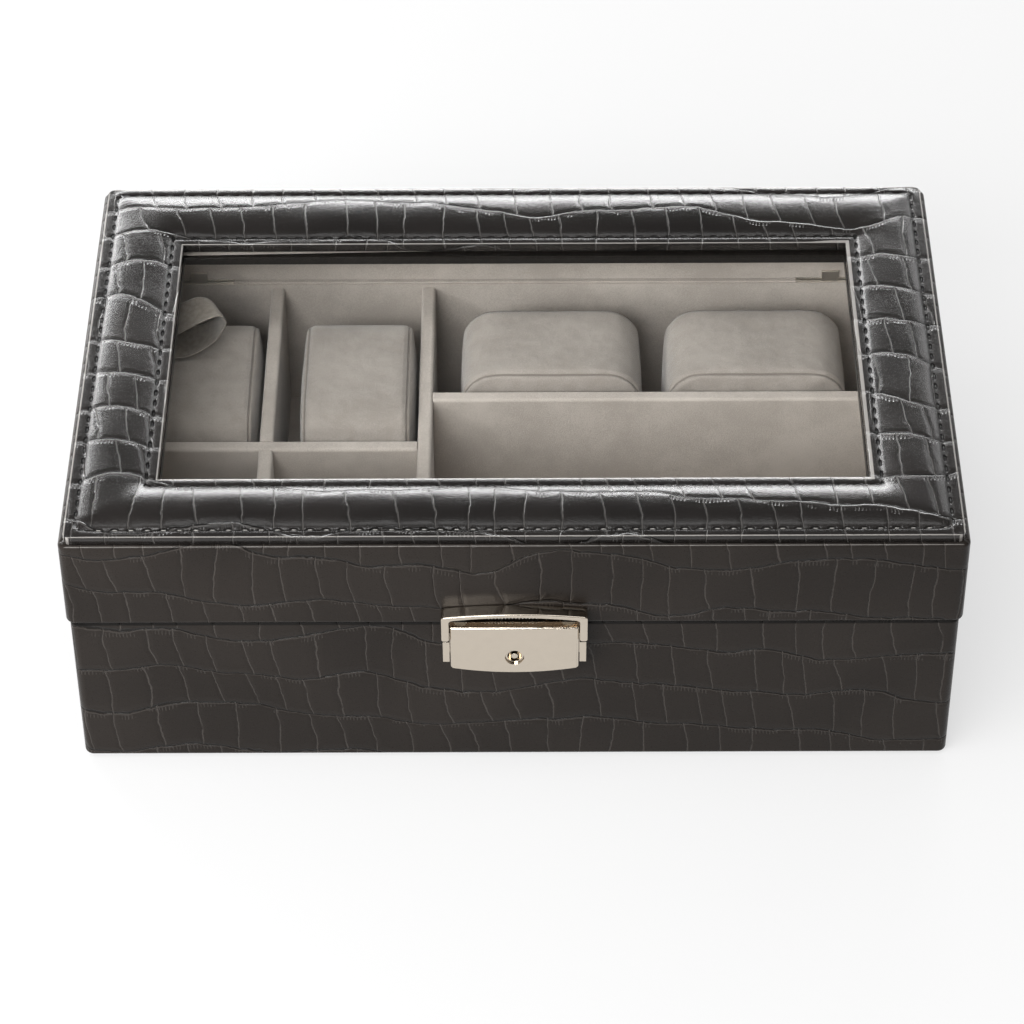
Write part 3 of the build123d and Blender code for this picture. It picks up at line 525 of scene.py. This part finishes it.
def ribbon_satin(name):
    """Grey satin with a fine weft and bound edges."""
    satin = Finish(name, Specular_IOR_Level=0.5, Sheen_Weight=0.4, Sheen_Roughness=0.3)
    flat = satin.on_hide()
    u, v, _ = satin.parts(flat)
    weft = (v * 14.0).sine()
    warp = (u * 11.0).sine()
    edge = (u.abs() - 6.9).abs().span(0.1, 0.5, 1.0, 0.0)
    cloudy = satin.noise(flat, 0.5, 2.0).span(0.3, 0.7)
    shade = satin.mixed(cloudy, (0.25, 0.222, 0.19), (0.33, 0.295, 0.255))
    satin.colour(satin.mixed(edge * 0.5, shade, (0.19, 0.168, 0.145)))
    satin.roughness(0.38 + 0.1 * satin.noise(flat, 0.8, 2.0))
    satin.relief(0.03 * weft + 0.02 * warp + 0.08 * edge)
    return satin.material


def plain(name, dark, pale, grain=0.6, relief=0.1, rough=0.9):
    """Board and felt: a mottled, matt surface."""
    stock = Finish(name, Specular_IOR_Level=0.2)
    flat = stock.place()
    fibre = stock.noise(flat, grain, 4.0, 0.7)
    stock.colour(stock.mixed(fibre.span(0.3, 0.7), dark, pale))
    stock.roughness(rough - 0.1 * fibre)
    stock.relief(relief * fibre)
    return stock.material


def waxed_thread(name):
    """Dull black thread, twisted, with a painted highlight on the front outer row."""
    thread = Finish(name, Specular_IOR_Level=0.5)
    flat = thread.place()
    x, y, _ = thread.parts(flat)
    twist = ((x + y) * 9.0).sine()
    front = y.span(-87.5, -86.0, 1.0, 0.0)
    dull = thread.mixed(twist.span(-0.6, 0.8), (0.008, 0.0075, 0.007), (0.03, 0.028, 0.026))
    # painted highlight: the front outer row's thread is coloured pale grey
    thread.colour(thread.mixed(front, dull, (0.32, 0.305, 0.285)))
    thread.roughness(0.3 + 0.06 * twist)
    thread.relief(0.03 * twist)
    return thread.material


hide_top = embossed_hide(
    "hide_top", (0.008, 0.0069, 0.0063), (0.0125, 0.0108, 0.0099), (0.062, 0.058, 0.0545),
    0.42, 0.15, stitched=True,
)
hide_wall = embossed_hide(
    "hide_wall", (0.0105, 0.0082, 0.0067), (0.0145, 0.0115, 0.0095), (0.046, 0.040, 0.0355),
    0.16, 0.2,
)
suede_card = suede("suede_card", 1.02)
suede_floor = suede("suede_floor", 0.95)
nickel = polished("nickel", (0.58, 0.515, 0.433))
satin_nickel = polished("satin_nickel", (0.78, 0.74, 0.67), 0.5)
# catch_metal is a darker copy of the nickel: painted shade for the catch in its recess and in the push
# plate's reflection
catch_metal = polished("catch_metal", (0.3, 0.25, 0.205), 0.2, 0.05)
steel = polished("steel", (0.56, 0.56, 0.55), 0.22, 0.1)
glass = clear_glass("glass")
satin = ribbon_satin("satin")
board = plain("fibreboard", (0.33, 0.23, 0.15), (0.5, 0.38, 0.26))
felt = plain("felt", (0.014, 0.014, 0.014), (0.035, 0.035, 0.035), 1.4, 0.25, 0.95)
thread = waxed_thread("thread")
edge_leather = plain("edge_leather", (0.008, 0.007, 0.006), (0.014, 0.012, 0.0105), rough=0.4)

# every node of the frame first gets its slot's finish
FINISH_OF = {
    "suede": suede_card, "nickel": nickel, "steel": steel, "glass": glass,
    "board": board, "felt": felt, "leather": hide_wall, "satin": satin,
}
for part in frame["record"]["subparts"]:
    carried = NODES[part["node"]]
    carried.data.materials.clear()
    carried.data.materials.append(FINISH_OF[part["material_slot"]])
NODES["floor_pad"].data.materials[0] = suede_floor
NODES["glass_frame"].data.materials[0] = suede_card
NODES["top_board"].data.materials[0] = edge_leather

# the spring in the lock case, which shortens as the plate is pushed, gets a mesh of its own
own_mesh(NODES["return_spring"])

# black edges round the window on the two pieces that line it
for node in ("window_lining", "glass_frame"):
    lip = NODES[node].data
    lip.materials.append(edge_leather)
    for face in lip.polygons:
        x, y, z = face.center / MM
        near = abs(x) < WINDOW_X + 4 and WINDOW_FRONT - 4 < y < WINDOW_REAR + 4
        if face.normal.z > -0.3 and near:
            face.material_index = 1


# ------------------------------------------------------------------- leather on walls
WALL_IN = 6.0  # past this far in, a wall's cover is suede


def around(p, half_x, half_y):
    """Distance around a rectangle to the point beside p, from the rear left corner."""
    to_side = abs(p.x) - half_x
    to_end = abs(p.y) - half_y
    if to_end > to_side:
        if p.y < 0:
            return 2 * half_y + p.x + half_x
        return 4 * half_y + 2 * half_x + (half_x - p.x)
    if p.x < 0:
        return half_y - p.y
    return 2 * half_y + 2 * half_x + (p.y + half_y)


def wall_hide(node, name, body, shift):
    """The leather around a carcass, with the embossing laid around it."""
    piece = copied(node, name, shade=30)
    low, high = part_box(node)
    half_x = (high[0] - low[0]) / 2 / MM
    half_y = (high[1] - low[1]) / 2 / MM

    def place(p):
        inset = max(0.0, min(half_x - abs(p.x), half_y - abs(p.y)))
        top = (high[2] / MM + low[2] / MM) / 2 < p.z
        return around(p, half_x, half_y) + shift, p.z + (inset if top else -inset) + shift

    edit(piece)
    for out in (1, -1):
        for half, way in ((half_x, (1, 0, 0)), (half_y, (0, 1, 0))):
            cut([out * (half - WALL_IN) * k for k in way], way)
    bpy.ops.mesh.select_all(action="SELECT")
    bpy.ops.mesh.quads_convert_to_tris()
    done()
    soften(piece, 30)
    lay_hide(piece, place)
    put(piece, hide_wall, body, node, slot="leather")
    piece.data.materials.append(suede_card)
    for face in piece.data.polygons:
        x, y, z = face.center / MM
        if abs(x) < half_x - WALL_IN and abs(y) < half_y - WALL_IN and 10 < z < 90:
            face.material_index = 1


wall_hide("lid_wrap", "lid_leather", "lid", 40.0)
wall_hide("base_wrap", "base_leather", "base", 410.0)


# --------------------------------------------------------------------- padded frame
def from_edges(p, half_x, front, rear, corner=0.0):
    """How far p is inside a rectangle with rounded corners, negative outside."""
    middle, half_y = (front + rear) / 2, (rear - front) / 2
    dx = abs(p[0]) - half_x + corner
    dy = abs(p[1] - middle) - half_y + corner
    return corner - (math.hypot(max(dx, 0), max(dy, 0)) + min(max(dx, dy), 0))


def puff_height(x, y):
    """Height of the padded frame's leather."""
    outer = from_edges((x, y), *OUTER_SEAM, SEAM_CORNER)
    inner = -from_edges((x, y), *INNER_SEAM, 1.0)
    furrow = 0.3 * math.exp(-(min(abs(outer), abs(inner)) / 0.7) ** 2)
    if outer <= 0 or inner <= 0:
        beyond = -outer if outer <= 0 else -inner
        return MARGIN_TOP - furrow - 0.25 * smooth_step(beyond, 2.2, 3.7)
    t = outer / (outer + inner)
    rise = PUFF_RISE * (1 - abs(2 * t - 1) ** 2.1) ** 0.85
    wave_x = math.sin(x * 0.21 + 1.3 * math.sin(y * 0.11))
    wave_y = math.sin(y * 0.19 + 0.7 * math.sin(x * 0.09))
    lumps = 0.10 * wave_x * wave_y
    return MARGIN_TOP - furrow + rise + lumps * rise / PUFF_RISE - 0.1


def padded_top():
    """A fine grid cut at the seams and the window, raised, given sides and thickness."""
    width, depth = 2 * PANEL_X, PANEL_REAR - PANEL_FRONT
    middle = (PANEL_FRONT + PANEL_REAR) / 2
    bpy.ops.mesh.primitive_grid_add(
        x_subdivisions=208, y_subdivisions=132, size=1, location=(0, middle * MM, 0),
    )
    piece = bpy.context.object
    piece.name = "padded_leather"
    piece.scale = (width * MM, depth * MM, 1)
    bpy.ops.object.transform_apply(location=True, rotation=False, scale=True)
    edit(piece)
    near = (-1.1, -0.5, 0.0, 0.5, 1.1)
    cuts_x = [PANEL_X - 0.5, WINDOW_X, WINDOW_X + 0.5]
    cuts_x += [seam[0] + n for seam in (OUTER_SEAM, INNER_SEAM) for n in near]
    cuts_y = [
        PANEL_FRONT + 0.5, PANEL_REAR - 0.5, WINDOW_FRONT, WINDOW_REAR,
        WINDOW_FRONT - 0.5, WINDOW_REAR + 0.5,
    ]
    for n in near:
        cuts_y += [OUTER_SEAM[1] + n, OUTER_SEAM[2] + n, INNER_SEAM[1] + n, INNER_SEAM[2] + n]
    for x in cuts_x:
        for side in (1, -1):
            cut((side * x, 0, 0), (1, 0, 0))
    for y in cuts_y:
        cut((0, y, 0), (0, 1, 0))
    done()

    def over_window(face):
        x, y, z = face.center
        return abs(x) < WINDOW_X * MM and WINDOW_FRONT * MM < y < WINDOW_REAR * MM

    pick(piece, faces=over_window)
    bpy.ops.mesh.delete(type="FACE")
    bpy.ops.mesh.select_all(action="SELECT")
    bpy.ops.mesh.remove_doubles(threshold=4e-5)
    done()
    shaped = []
    for p in points_of(piece):
        x, y = p.x, p.y
        if from_edges((x, y), *PANEL, PANEL_CORNER) < 0:
            cx = math.copysign(PANEL_X - PANEL_CORNER, x)
            cy = PANEL_FRONT + PANEL_CORNER if y < middle else PANEL_REAR - PANEL_CORNER
            way = Vector((x - cx, y - cy)).normalized() * PANEL_CORNER
            x, y = cx + way.x, cy + way.y
        shaped.append((x, y, puff_height(x, y)))
    set_points(piece, shaped)
    pick(piece, edges=lambda e: False)
    bpy.ops.mesh.select_all(action="DESELECT")
    bpy.ops.mesh.select_mode(type="EDGE")
    bpy.ops.mesh.select_non_manifold()
    bpy.ops.mesh.extrude_edges_move(TRANSFORM_OT_translate={"value": (0, 0, -1.0 * MM)})
    done()
    sides = [v.index for v in piece.data.vertices if v.select]
    points = points_of(piece)
    for n in sides:
        points[n].z = PANEL_LOW + 0.05
    set_points(piece, points)
    edit(piece)
    bpy.ops.mesh.normals_make_consistent(inside=False)
    done()
    bevelled(piece, 0.55, 3, 62, use_clamp_overlap=True)
    finish_with(piece, "SOLIDIFY", thickness=HIDE_T * MM, offset=-1, use_even_offset=False)
    smooth(piece)

    def place(p):
        drop = max(0.0, MARGIN_TOP - 0.8 - p.z)
        x, y = p.x, p.y
        if abs(x) > WINDOW_X + SEAM_IN and abs(abs(x) - PANEL_X) < 1.0:
            x += math.copysign(drop, x)
        elif y < PANEL_FRONT + 1.0 or WINDOW_REAR - 1 < y < WINDOW_REAR + 1:
            y -= drop
        return x, y

    lay_hide(piece, place)
    put(piece, hide_top, "lid", "padded_frame", slot="leather")


padded_top()


# ----------------------------------------------------------------------- stitch rows
def one_stitch():
    """A thread that rises from one hole and sinks into the next."""
    bpy.ops.mesh.primitive_cylinder_add(
        vertices=6, radius=STITCH_R * MM, depth=STITCH_L * MM, rotation=(0, math.pi / 2, 0),
        end_fill_type="TRIFAN",
    )
    stitch = bpy.context.object
    settle()
    edit(stitch)
    for x in (-1.2, -0.5, 0.5, 1.2):
        cut((x, 0, 0), (1, 0, 0), threshold=1e-4)
    done()
    bent = []
    for p in points_of(stitch):
        k = abs(p.x) / (STITCH_L / 2)
        slim = 1 - 0.45 * k ** 3
        bent.append((p.x, p.y * slim, p.z * slim - 0.75 * k ** 2.4))
    set_points(stitch, bent)
    smooth(stitch)
    return stitch


def stitch_row(name, half_x, front, rear, corner):
    """Stitches set evenly round a rectangle with rounded corners."""
    middle, half_y = (front + rear) / 2, (rear - front) / 2
    places = []
    for side in (1, -1):
        count = round(2 * half_x / STITCH_PITCH)
        for n in range(count):
            x = -half_x + 2 * half_x * (n + 0.5) / count
            places.append((x, middle + side * half_y, 0.0))
        count = round(2 * half_y / STITCH_PITCH)
        for n in range(count):
            y = middle - half_y + 2 * half_y * (n + 0.5) / count
            places.append((side * half_x, y, math.pi / 2))
    pattern = one_stitch()
    copies = []
    for x, y, turn in places:
        gap_x, gap_y = half_x - abs(x), half_y - abs(y - middle)
        if gap_x < corner and gap_y < corner:
            cx = math.copysign(half_x - corner, x)
            cy = middle + math.copysign(half_y - corner, y - middle)
            way = Vector((x - cx, y - cy)).normalized()
            x, y = cx + way.x * corner, cy + way.y * corner
            turn = math.atan2(way.y, way.x) + math.pi / 2
        stitch = bpy.data.objects.new(name, pattern.data.copy())
        spot = Matrix.Translation((x * MM, y * MM, (MARGIN_TOP - 0.36) * MM))
        stitch.data.transform(spot @ Matrix.Rotation(turn, 4, "Z"))
        bpy.context.scene.collection.objects.link(stitch)
        copies.append(stitch)
    only(*copies)
    bpy.ops.object.join()
    bpy.data.objects.remove(pattern)
    row = bpy.context.view_layer.objects.active
    row.name = name
    put(row, thread, "lid", slot="leather")


stitch_row("outer_stitches", *OUTER_SEAM, SEAM_CORNER)
stitch_row("inner_stitches", *INNER_SEAM, 1.5)


# --------------------------------------------------------------------------- pillows
PILLOW_HALF = (20.0, 32.5, 28.5)  # along its axis, across, high
VOXEL = 2.2
PILLOW_TURNS = {  # node: the axis that it lies along, and its turn in degrees
    "pillow_first": (0, 0), "pillow_second": (0, 180),
    "pillow_third": (1, 90), "pillow_fourth": (1, -90),
}


def blown_up(pillow, cap):
    """Fill the cover: cloth under pressure, no point moved further than the cap."""
    start = points_of(pillow)
    cloth = pillow.modifiers.new("cloth", "CLOTH")
    cloth.settings.use_pressure = True
    cloth.settings.uniform_pressure_force = 4
    cloth.settings.effector_weights.gravity = 0
    scene = bpy.context.scene
    for n in range(1, 21):
        scene.frame_set(n)
    filled = pillow.evaluated_get(bpy.context.evaluated_depsgraph_get())
    ends = [Vector(v.co) / MM for v in filled.data.vertices]
    pillow.modifiers.remove(cloth)
    scene.frame_set(1)
    shaped = []
    for a, b in zip(start, ends):
        move = b - a
        move *= min(1.0, cap / max(move.length, 1e-6))
        shaped.append([max(-h, min(h, v)) for v, h in zip(a + move, PILLOW_HALF)])
    set_points(pillow, shaped)


def pillow_cover():
    """A stuffed cover about its own middle, its axis along X, with sewn-in ends."""
    bpy.ops.mesh.primitive_cube_add(size=1, location=(0, 0, 0))
    pillow = bpy.context.object
    pillow.scale = tuple((2 * h - 2.2) * MM for h in PILLOW_HALF)
    bpy.ops.object.transform_apply(location=True, rotation=False, scale=True)

    def lengthwise(edge):
        a, b = (pillow.data.vertices[n].co for n in edge.vertices)
        return abs(a.x - b.x) > 5 * MM

    pick(pillow, edges=lengthwise)
    bpy.ops.mesh.bevel(offset=12.5 * MM, segments=8, affect="EDGES")
    done()
    bevelled(pillow, 1.6, 2, 60)
    pillow.data.remesh_voxel_size = VOXEL * MM
    only(pillow)
    bpy.ops.object.voxel_remesh()
    blown_up(pillow, 1.5)
    finish_with(pillow, "SUBSURF", levels=1, render_levels=1)
    sewn = []
    for v in pillow.data.vertices:
        p = Vector(v.co) / MM
        a = abs(p.x)
        if abs(v.normal.x) < 0.75:
            groove = 0.55 * math.exp(-((a - PILLOW_SEAM) / 0.7) ** 2)
            piping = 0.2 * math.exp(-((a - PILLOW_SEAM - 1.3) / 0.6) ** 2)
            p -= Vector((0, v.normal.y, v.normal.z)) * (groove - piping)
        sewn.append(p)
    set_points(pillow, sewn)
    return pillow


def pillows():
    cover = pillow_cover()
    for node, (axis, turn) in PILLOW_TURNS.items():
        low, high = (Vector(c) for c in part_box(node))
        centre = (low + high) / 2
        piece = bpy.data.objects.new(f"{node}_cover", cover.data.copy())
        bpy.context.scene.collection.objects.link(piece)
        piece.data.transform(Matrix.Translation(centre) @ Matrix.Rotation(math.radians(turn), 4, "Z"))
        smooth(piece)
        finish = pillow_suede(f"{node}_suede", centre[axis] / MM, axis)
        put(piece, finish, node, node, slot="suede")
    bpy.data.objects.remove(cover)


pillows()


# ----------------------------------------------------------- dividers, fittings, lock
DIVIDERS = (
    "divider_left_rear", "divider_left_front", "divider_long", "divider_left_cross",
    "divider_right_cross",
)
for node in DIVIDERS:
    put(copied(node, f"{node}_suede", 0.35, 2, 60), suede_card, "base", node, slot="suede")


def rounded(piece, radius, where):
    """Round the upright corners of a plate's outline: edges that run front to rear."""
    mesh = piece.data

    def chosen(edge):
        a, b = (mesh.vertices[n].co / MM for n in edge.vertices)
        return abs(a.y - b.y) > 0.9 and abs(a.x - b.x) < 0.05 and abs(a.z - b.z) < 0.05 and where(a)

    pick(piece, edges=chosen)
    bpy.ops.mesh.bevel(offset=radius * MM, segments=4, affect="EDGES", clamp_overlap=True)
    done()


HINGE_PARTS = {
    "hinge_lid_leaf": ("lid", 0.15), "hinge_base_leaf": ("base", 0.15), "hinge_pin": ("base", 0.2),
}
for part, (body, ease) in HINGE_PARTS.items():
    for node in (f"{part}_left", f"{part}_right"):
        put(copied(node, f"{node}_nickel", ease), satin_nickel, body, node, slot="nickel")
put(copied("lid_catch", "lid_catch_steel", 0.12), catch_metal, "lid", "lid_catch", slot="nickel")


def fitting(node, body, corners, ease):
    """A lock plate with its outline's corners rounded and all its edges eased."""
    piece = copied(node, f"{node}_nickel")
    for radius, where in corners:
        rounded(piece, radius, where)
    bevelled(piece, ease, 3, 40, use_clamp_overlap=True)
    soften(piece, 40)
    put(piece, nickel, body, node, slot="nickel")


fitting("lid_bracket", "lid", [
    (0.8, lambda p: p.z < 59.5),  # the ends of its legs
    (0.9, lambda p: 67.0 < p.z < 68.5 and abs(p.x) < 21.5),  # its opening's upper corners
], 0.4)
fitting("lock_base_plate", "base", [
    (0.7, lambda p: p.z < 50.5 and abs(p.x) > 20.5),  # its ears, below and above
    (0.5, lambda p: p.z > 57.5 and abs(p.x) > 20.5),
], 0.3)
put(copied("push_plate", "push_plate_nickel", 0.18, 3), nickel, "push_plate", "push_plate", slot="nickel")
put(copied("key_plug", "key_plug_nickel", 0.1), nickel, "key", "key_plug", slot="nickel")


def catch_beads():
    """A row of tiny knurls along the catch, seen above the push plate."""
    first = [c * MM for c in (-9.4, -94.45, 66.0)]
    bpy.ops.mesh.primitive_ico_sphere_add(subdivisions=2, radius=0.24 * MM, location=first)
    beads = bpy.context.object
    beads.name = "catch_beads"
    settle()
    finish_with(
        beads, "ARRAY", count=16, use_relative_offset=False, use_constant_offset=True,
        constant_offset_displace=(1.1 * MM, 0, 0),
    )
    bpy.ops.object.shade_smooth()
    put(beads, steel, "lid")


catch_beads()


# ---------------------------------------------------------------------------- ribbon
# The ribbon's two edges, from the base's lining over the loop to the lid's lining.
RIBBON_FRONT = [
    (-135.0, 36, 56), (-135.0, 36, 63.5), (-131.5, 35.8, 67.6), (-123, 35.6, 67.0),
    (-114.6, 35.6, 67.4), (-108.3, 35.8, 70.6), (-103.6, 36, 74.6), (-100.8, 36, 79.2),
    (-99.4, 36, 83.0), (-101.7, 36, 85.5), (-107.5, 36, 83.2), (-113.0, 36, 79.7),
    (-119.0, 36, 76.2), (-126.5, 36, 76.6), (-133.0, 36, 81.0), (-135.9, 36, 85.5),
    (-136.0, 36, 88),
]
RIBBON_REAR = [
    (-135.0, 51, 50), (-135.0, 51, 61.0), (-131.5, 51, 68.9), (-123, 51, 70.4),
    (-115.2, 51, 68.8), (-109.4, 51, 69.8), (-105.8, 51, 72.4), (-104.2, 51, 75.6),
    (-104.9, 51, 79.0), (-107.4, 51, 81.7), (-111.0, 51, 82.0), (-115.2, 51, 80.0),
    (-120.4, 51, 77.8), (-127.0, 51, 77.0), (-133.4, 51, 81.5), (-135.9, 51, 87),
    (-136.0, 51, 91),
]


def eased(points, t):
    """A point on a smooth line through the points, t counting along them."""
    n = min(int(t), len(points) - 2)
    f = t - n
    last = len(points) - 1
    a, b, c, d = (Vector(points[min(max(k, 0), last)]) for k in (n - 1, n, n + 1, n + 2))
    bend, twist = 2 * a - 5 * b + 4 * c - d, 3 * b - a - 3 * c + d
    return 0.5 * (2 * b + (c - a) * f + bend * f ** 2 + twist * f ** 3)


def ribbon_stay():
    """A grid bent along the two edges; run is its length along the middle."""
    steps, ribs = 112, 8
    bpy.ops.mesh.primitive_grid_add(x_subdivisions=ribs, y_subdivisions=steps, size=1)
    piece = bpy.context.object
    piece.name = "ribbon"
    line = []
    run = 0.0
    last = None
    for n in range(steps + 1):
        t = (len(RIBBON_FRONT) - 1) * n / steps
        a, b = eased(RIBBON_FRONT, t), eased(RIBBON_REAR, t)
        mid = (a + b) / 2
        run += (mid - last).length if last else 0.0
        last = mid
        line.append((a, b, run))
    where, flat = [], []
    for v in piece.data.vertices:
        k = round((v.co.y + 0.5) * steps)
        w = v.co.x + 0.5
        a, b, length = line[k]
        where.append(a.lerp(b, w))
        flat += [(w - 0.5) * RIBBON_W, length, 0.0]
    set_points(piece, where)
    piece.data.attributes.new("hide", "FLOAT_VECTOR", "POINT").data.foreach_set("vector", flat)
    finish_with(piece, "SOLIDIFY", thickness=0.35 * MM, offset=0)
    finish_with(piece, "SUBSURF", levels=1, render_levels=1)
    edit(piece)
    bpy.ops.mesh.normals_make_consistent(inside=False)
    done()
    smooth(piece)
    put(piece, satin, None, "lid_ribbon", slot="satin")
    run * MM
    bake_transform(piece)
    print("ribbon length", run)


ribbon_stay()


# ------------------------------------------------------------- floor, light and camera
def floor():
    """White paper, partly glowing for the eye and for gloss, so that it reads white."""
    bpy.ops.mesh.primitive_plane_add(size=6, location=(0, 0.8, 0))
    ground = bpy.context.object
    ground.name = "floor"
    paper = Finish("floor_paper", Roughness=0.9, Specular_IOR_Level=0.1)
    paper.colour((0.56, 0.56, 0.56, 1.0))
    glow = paper.add("ShaderNodeEmission", None, {"Color": (1, 1, 1, 1), "Strength": 1.0})
    lit = Signal(paper, paper.shader.outputs[0])
    path = paper.tree.nodes.new("ShaderNodeLightPath")
    seen = Signal(paper, path.outputs["Is Camera Ray"]).most(Signal(paper, path.outputs["Is Glossy Ray"]))
    mix = paper.add("ShaderNodeMixShader", None, {0: seen * 0.6, 1: lit, 2: glow})
    paper.tree.links.new(mix.socket, paper.tree.nodes["Material Output"].inputs["Surface"])
    ground.data.materials.append(paper.material)


def sky():
    """White for the eye and low down for gloss, dim overhead, plain for the rest."""
    world = bpy.data.worlds.new("studio")
    bpy.context.scene.world = world
    world.use_nodes = True
    tree = world.node_tree
    back = tree.nodes["Background"]
    path = tree.nodes.new("ShaderNodeLightPath")
    spot = tree.nodes.new("ShaderNodeTexCoord")
    split = tree.nodes.new("ShaderNodeSeparateXYZ")
    tree.links.new(spot.outputs["Generated"], split.inputs[0])

    def span(socket, low, high, start, end):
        ramp = tree.nodes.new("ShaderNodeMapRange")
        ramp.interpolation_type = "SMOOTHSTEP"
        ends = (("From Min", low), ("From Max", high), ("To Min", start), ("To Max", end))
        for key, value in ends:
            ramp.inputs[key].default_value = value
        tree.links.new(socket, ramp.inputs["Value"])
        return ramp.outputs[0]

    def mixed(factor, first, second):
        mix = tree.nodes.new("ShaderNodeMix")
        for socket, value in zip((mix.inputs[0], mix.inputs[2], mix.inputs[3]), (factor, first, second)):
            if isinstance(value, float):
                socket.default_value = value
            else:
                tree.links.new(value, socket)
        return mix.outputs[0]

    low_gloss = span(split.outputs["X"], 0.2, 0.8, 1.0, 0.55)
    gloss = mixed(span(split.outputs["Z"], 0.25, 0.55, 0.0, 1.0), low_gloss, 0.13)
    strength = mixed(path.outputs["Is Glossy Ray"], 0.44, gloss)
    tree.links.new(mixed(path.outputs["Is Camera Ray"], strength, 1.0), back.inputs["Strength"])
    back.inputs["Color"].default_value = (1, 1, 1, 1)


def lamp(name, size, power, place, aim, glossy=False, wide=None, soft=1.0):
    """A softbox; glossy ones are mirrored, soft scales what it gives to matt things."""
    light = bpy.data.lights.new(name, "AREA")
    light.shape, light.size, light.size_y, light.energy = "RECTANGLE", wide or size, size, power
    stand = bpy.data.objects.new(name, light)
    bpy.context.scene.collection.objects.link(stand)
    stand.location = place
    stand.visible_glossy = glossy
    stand.visible_camera = False
    light.diffuse_factor = soft
    stand.rotation_euler = (Vector(aim) - Vector(place)).to_track_quat("-Z", "Y").to_euler()


FOCAL, PICTURE_W, SENSOR = 3650.0, 1024, 36.0  # pixels, pixels, millimetres
EYE = (0.00453, -0.94219, 0.88094)
YAW, PITCH, ROLL = -0.34, 42.20, -0.419


def camera():
    """The camera fitted to the box's corners in the photograph."""
    view = bpy.data.cameras.new("camera")
    view.sensor_width, view.lens = SENSOR, FOCAL / PICTURE_W * SENSOR
    view.clip_start, view.clip_end = 0.05, 20
    stand = bpy.data.objects.new("camera", view)
    bpy.context.scene.collection.objects.link(stand)
    yaw, pitch, roll = (math.radians(a) for a in (YAW, PITCH, ROLL))
    ahead = Vector((math.sin(yaw) * math.cos(pitch), math.cos(yaw) * math.cos(pitch), -math.sin(pitch)))
    right = Vector((math.cos(yaw), -math.sin(yaw), 0))
    up = right.cross(ahead)
    r = math.cos(roll) * right + math.sin(roll) * up
    u = -math.sin(roll) * right + math.cos(roll) * up
    turn = Matrix((r, u, -ahead)).transposed().to_4x4()
    stand.matrix_world = Matrix.Translation(EYE) @ turn
    bpy.context.scene.camera = stand


floor()
sky()
lamp("left_key", 0.5, 12.0, (-0.72, -0.66, 0.36), (0, 0, 0.08))
lamp("front_softbox", 0.45, 18.0, (-0.42, -1.2, 1.1), (0, 0, 0.08), glossy=True, wide=0.8, soft=0.12)
lamp("overhead", 0.35, 4.0, (0, -0.15, 1.5), (0, 0, 0.08), glossy=True, wide=1.1)
lamp("left_fill", 0.6, 4.0, (-0.85, -0.15, 0.85), (0, 0, 0.08))
lamp("rear_softbox", 0.55, 56.0, (-0.3, 2.1, 0.66), (0, 0, 0.09), glossy=True, wide=2.4)
lamp("left_softbox", 0.26, 1.1, (-0.58, 0.58, 0.25), (-0.1, 0.05, 0.09), glossy=True)
lamp("right_softbox", 0.5, 3.5, (1.2, 1.6, 0.95), (0, 0, 0.09), glossy=True)
camera()
bpy.context.scene.view_settings.view_transform = "Standard"
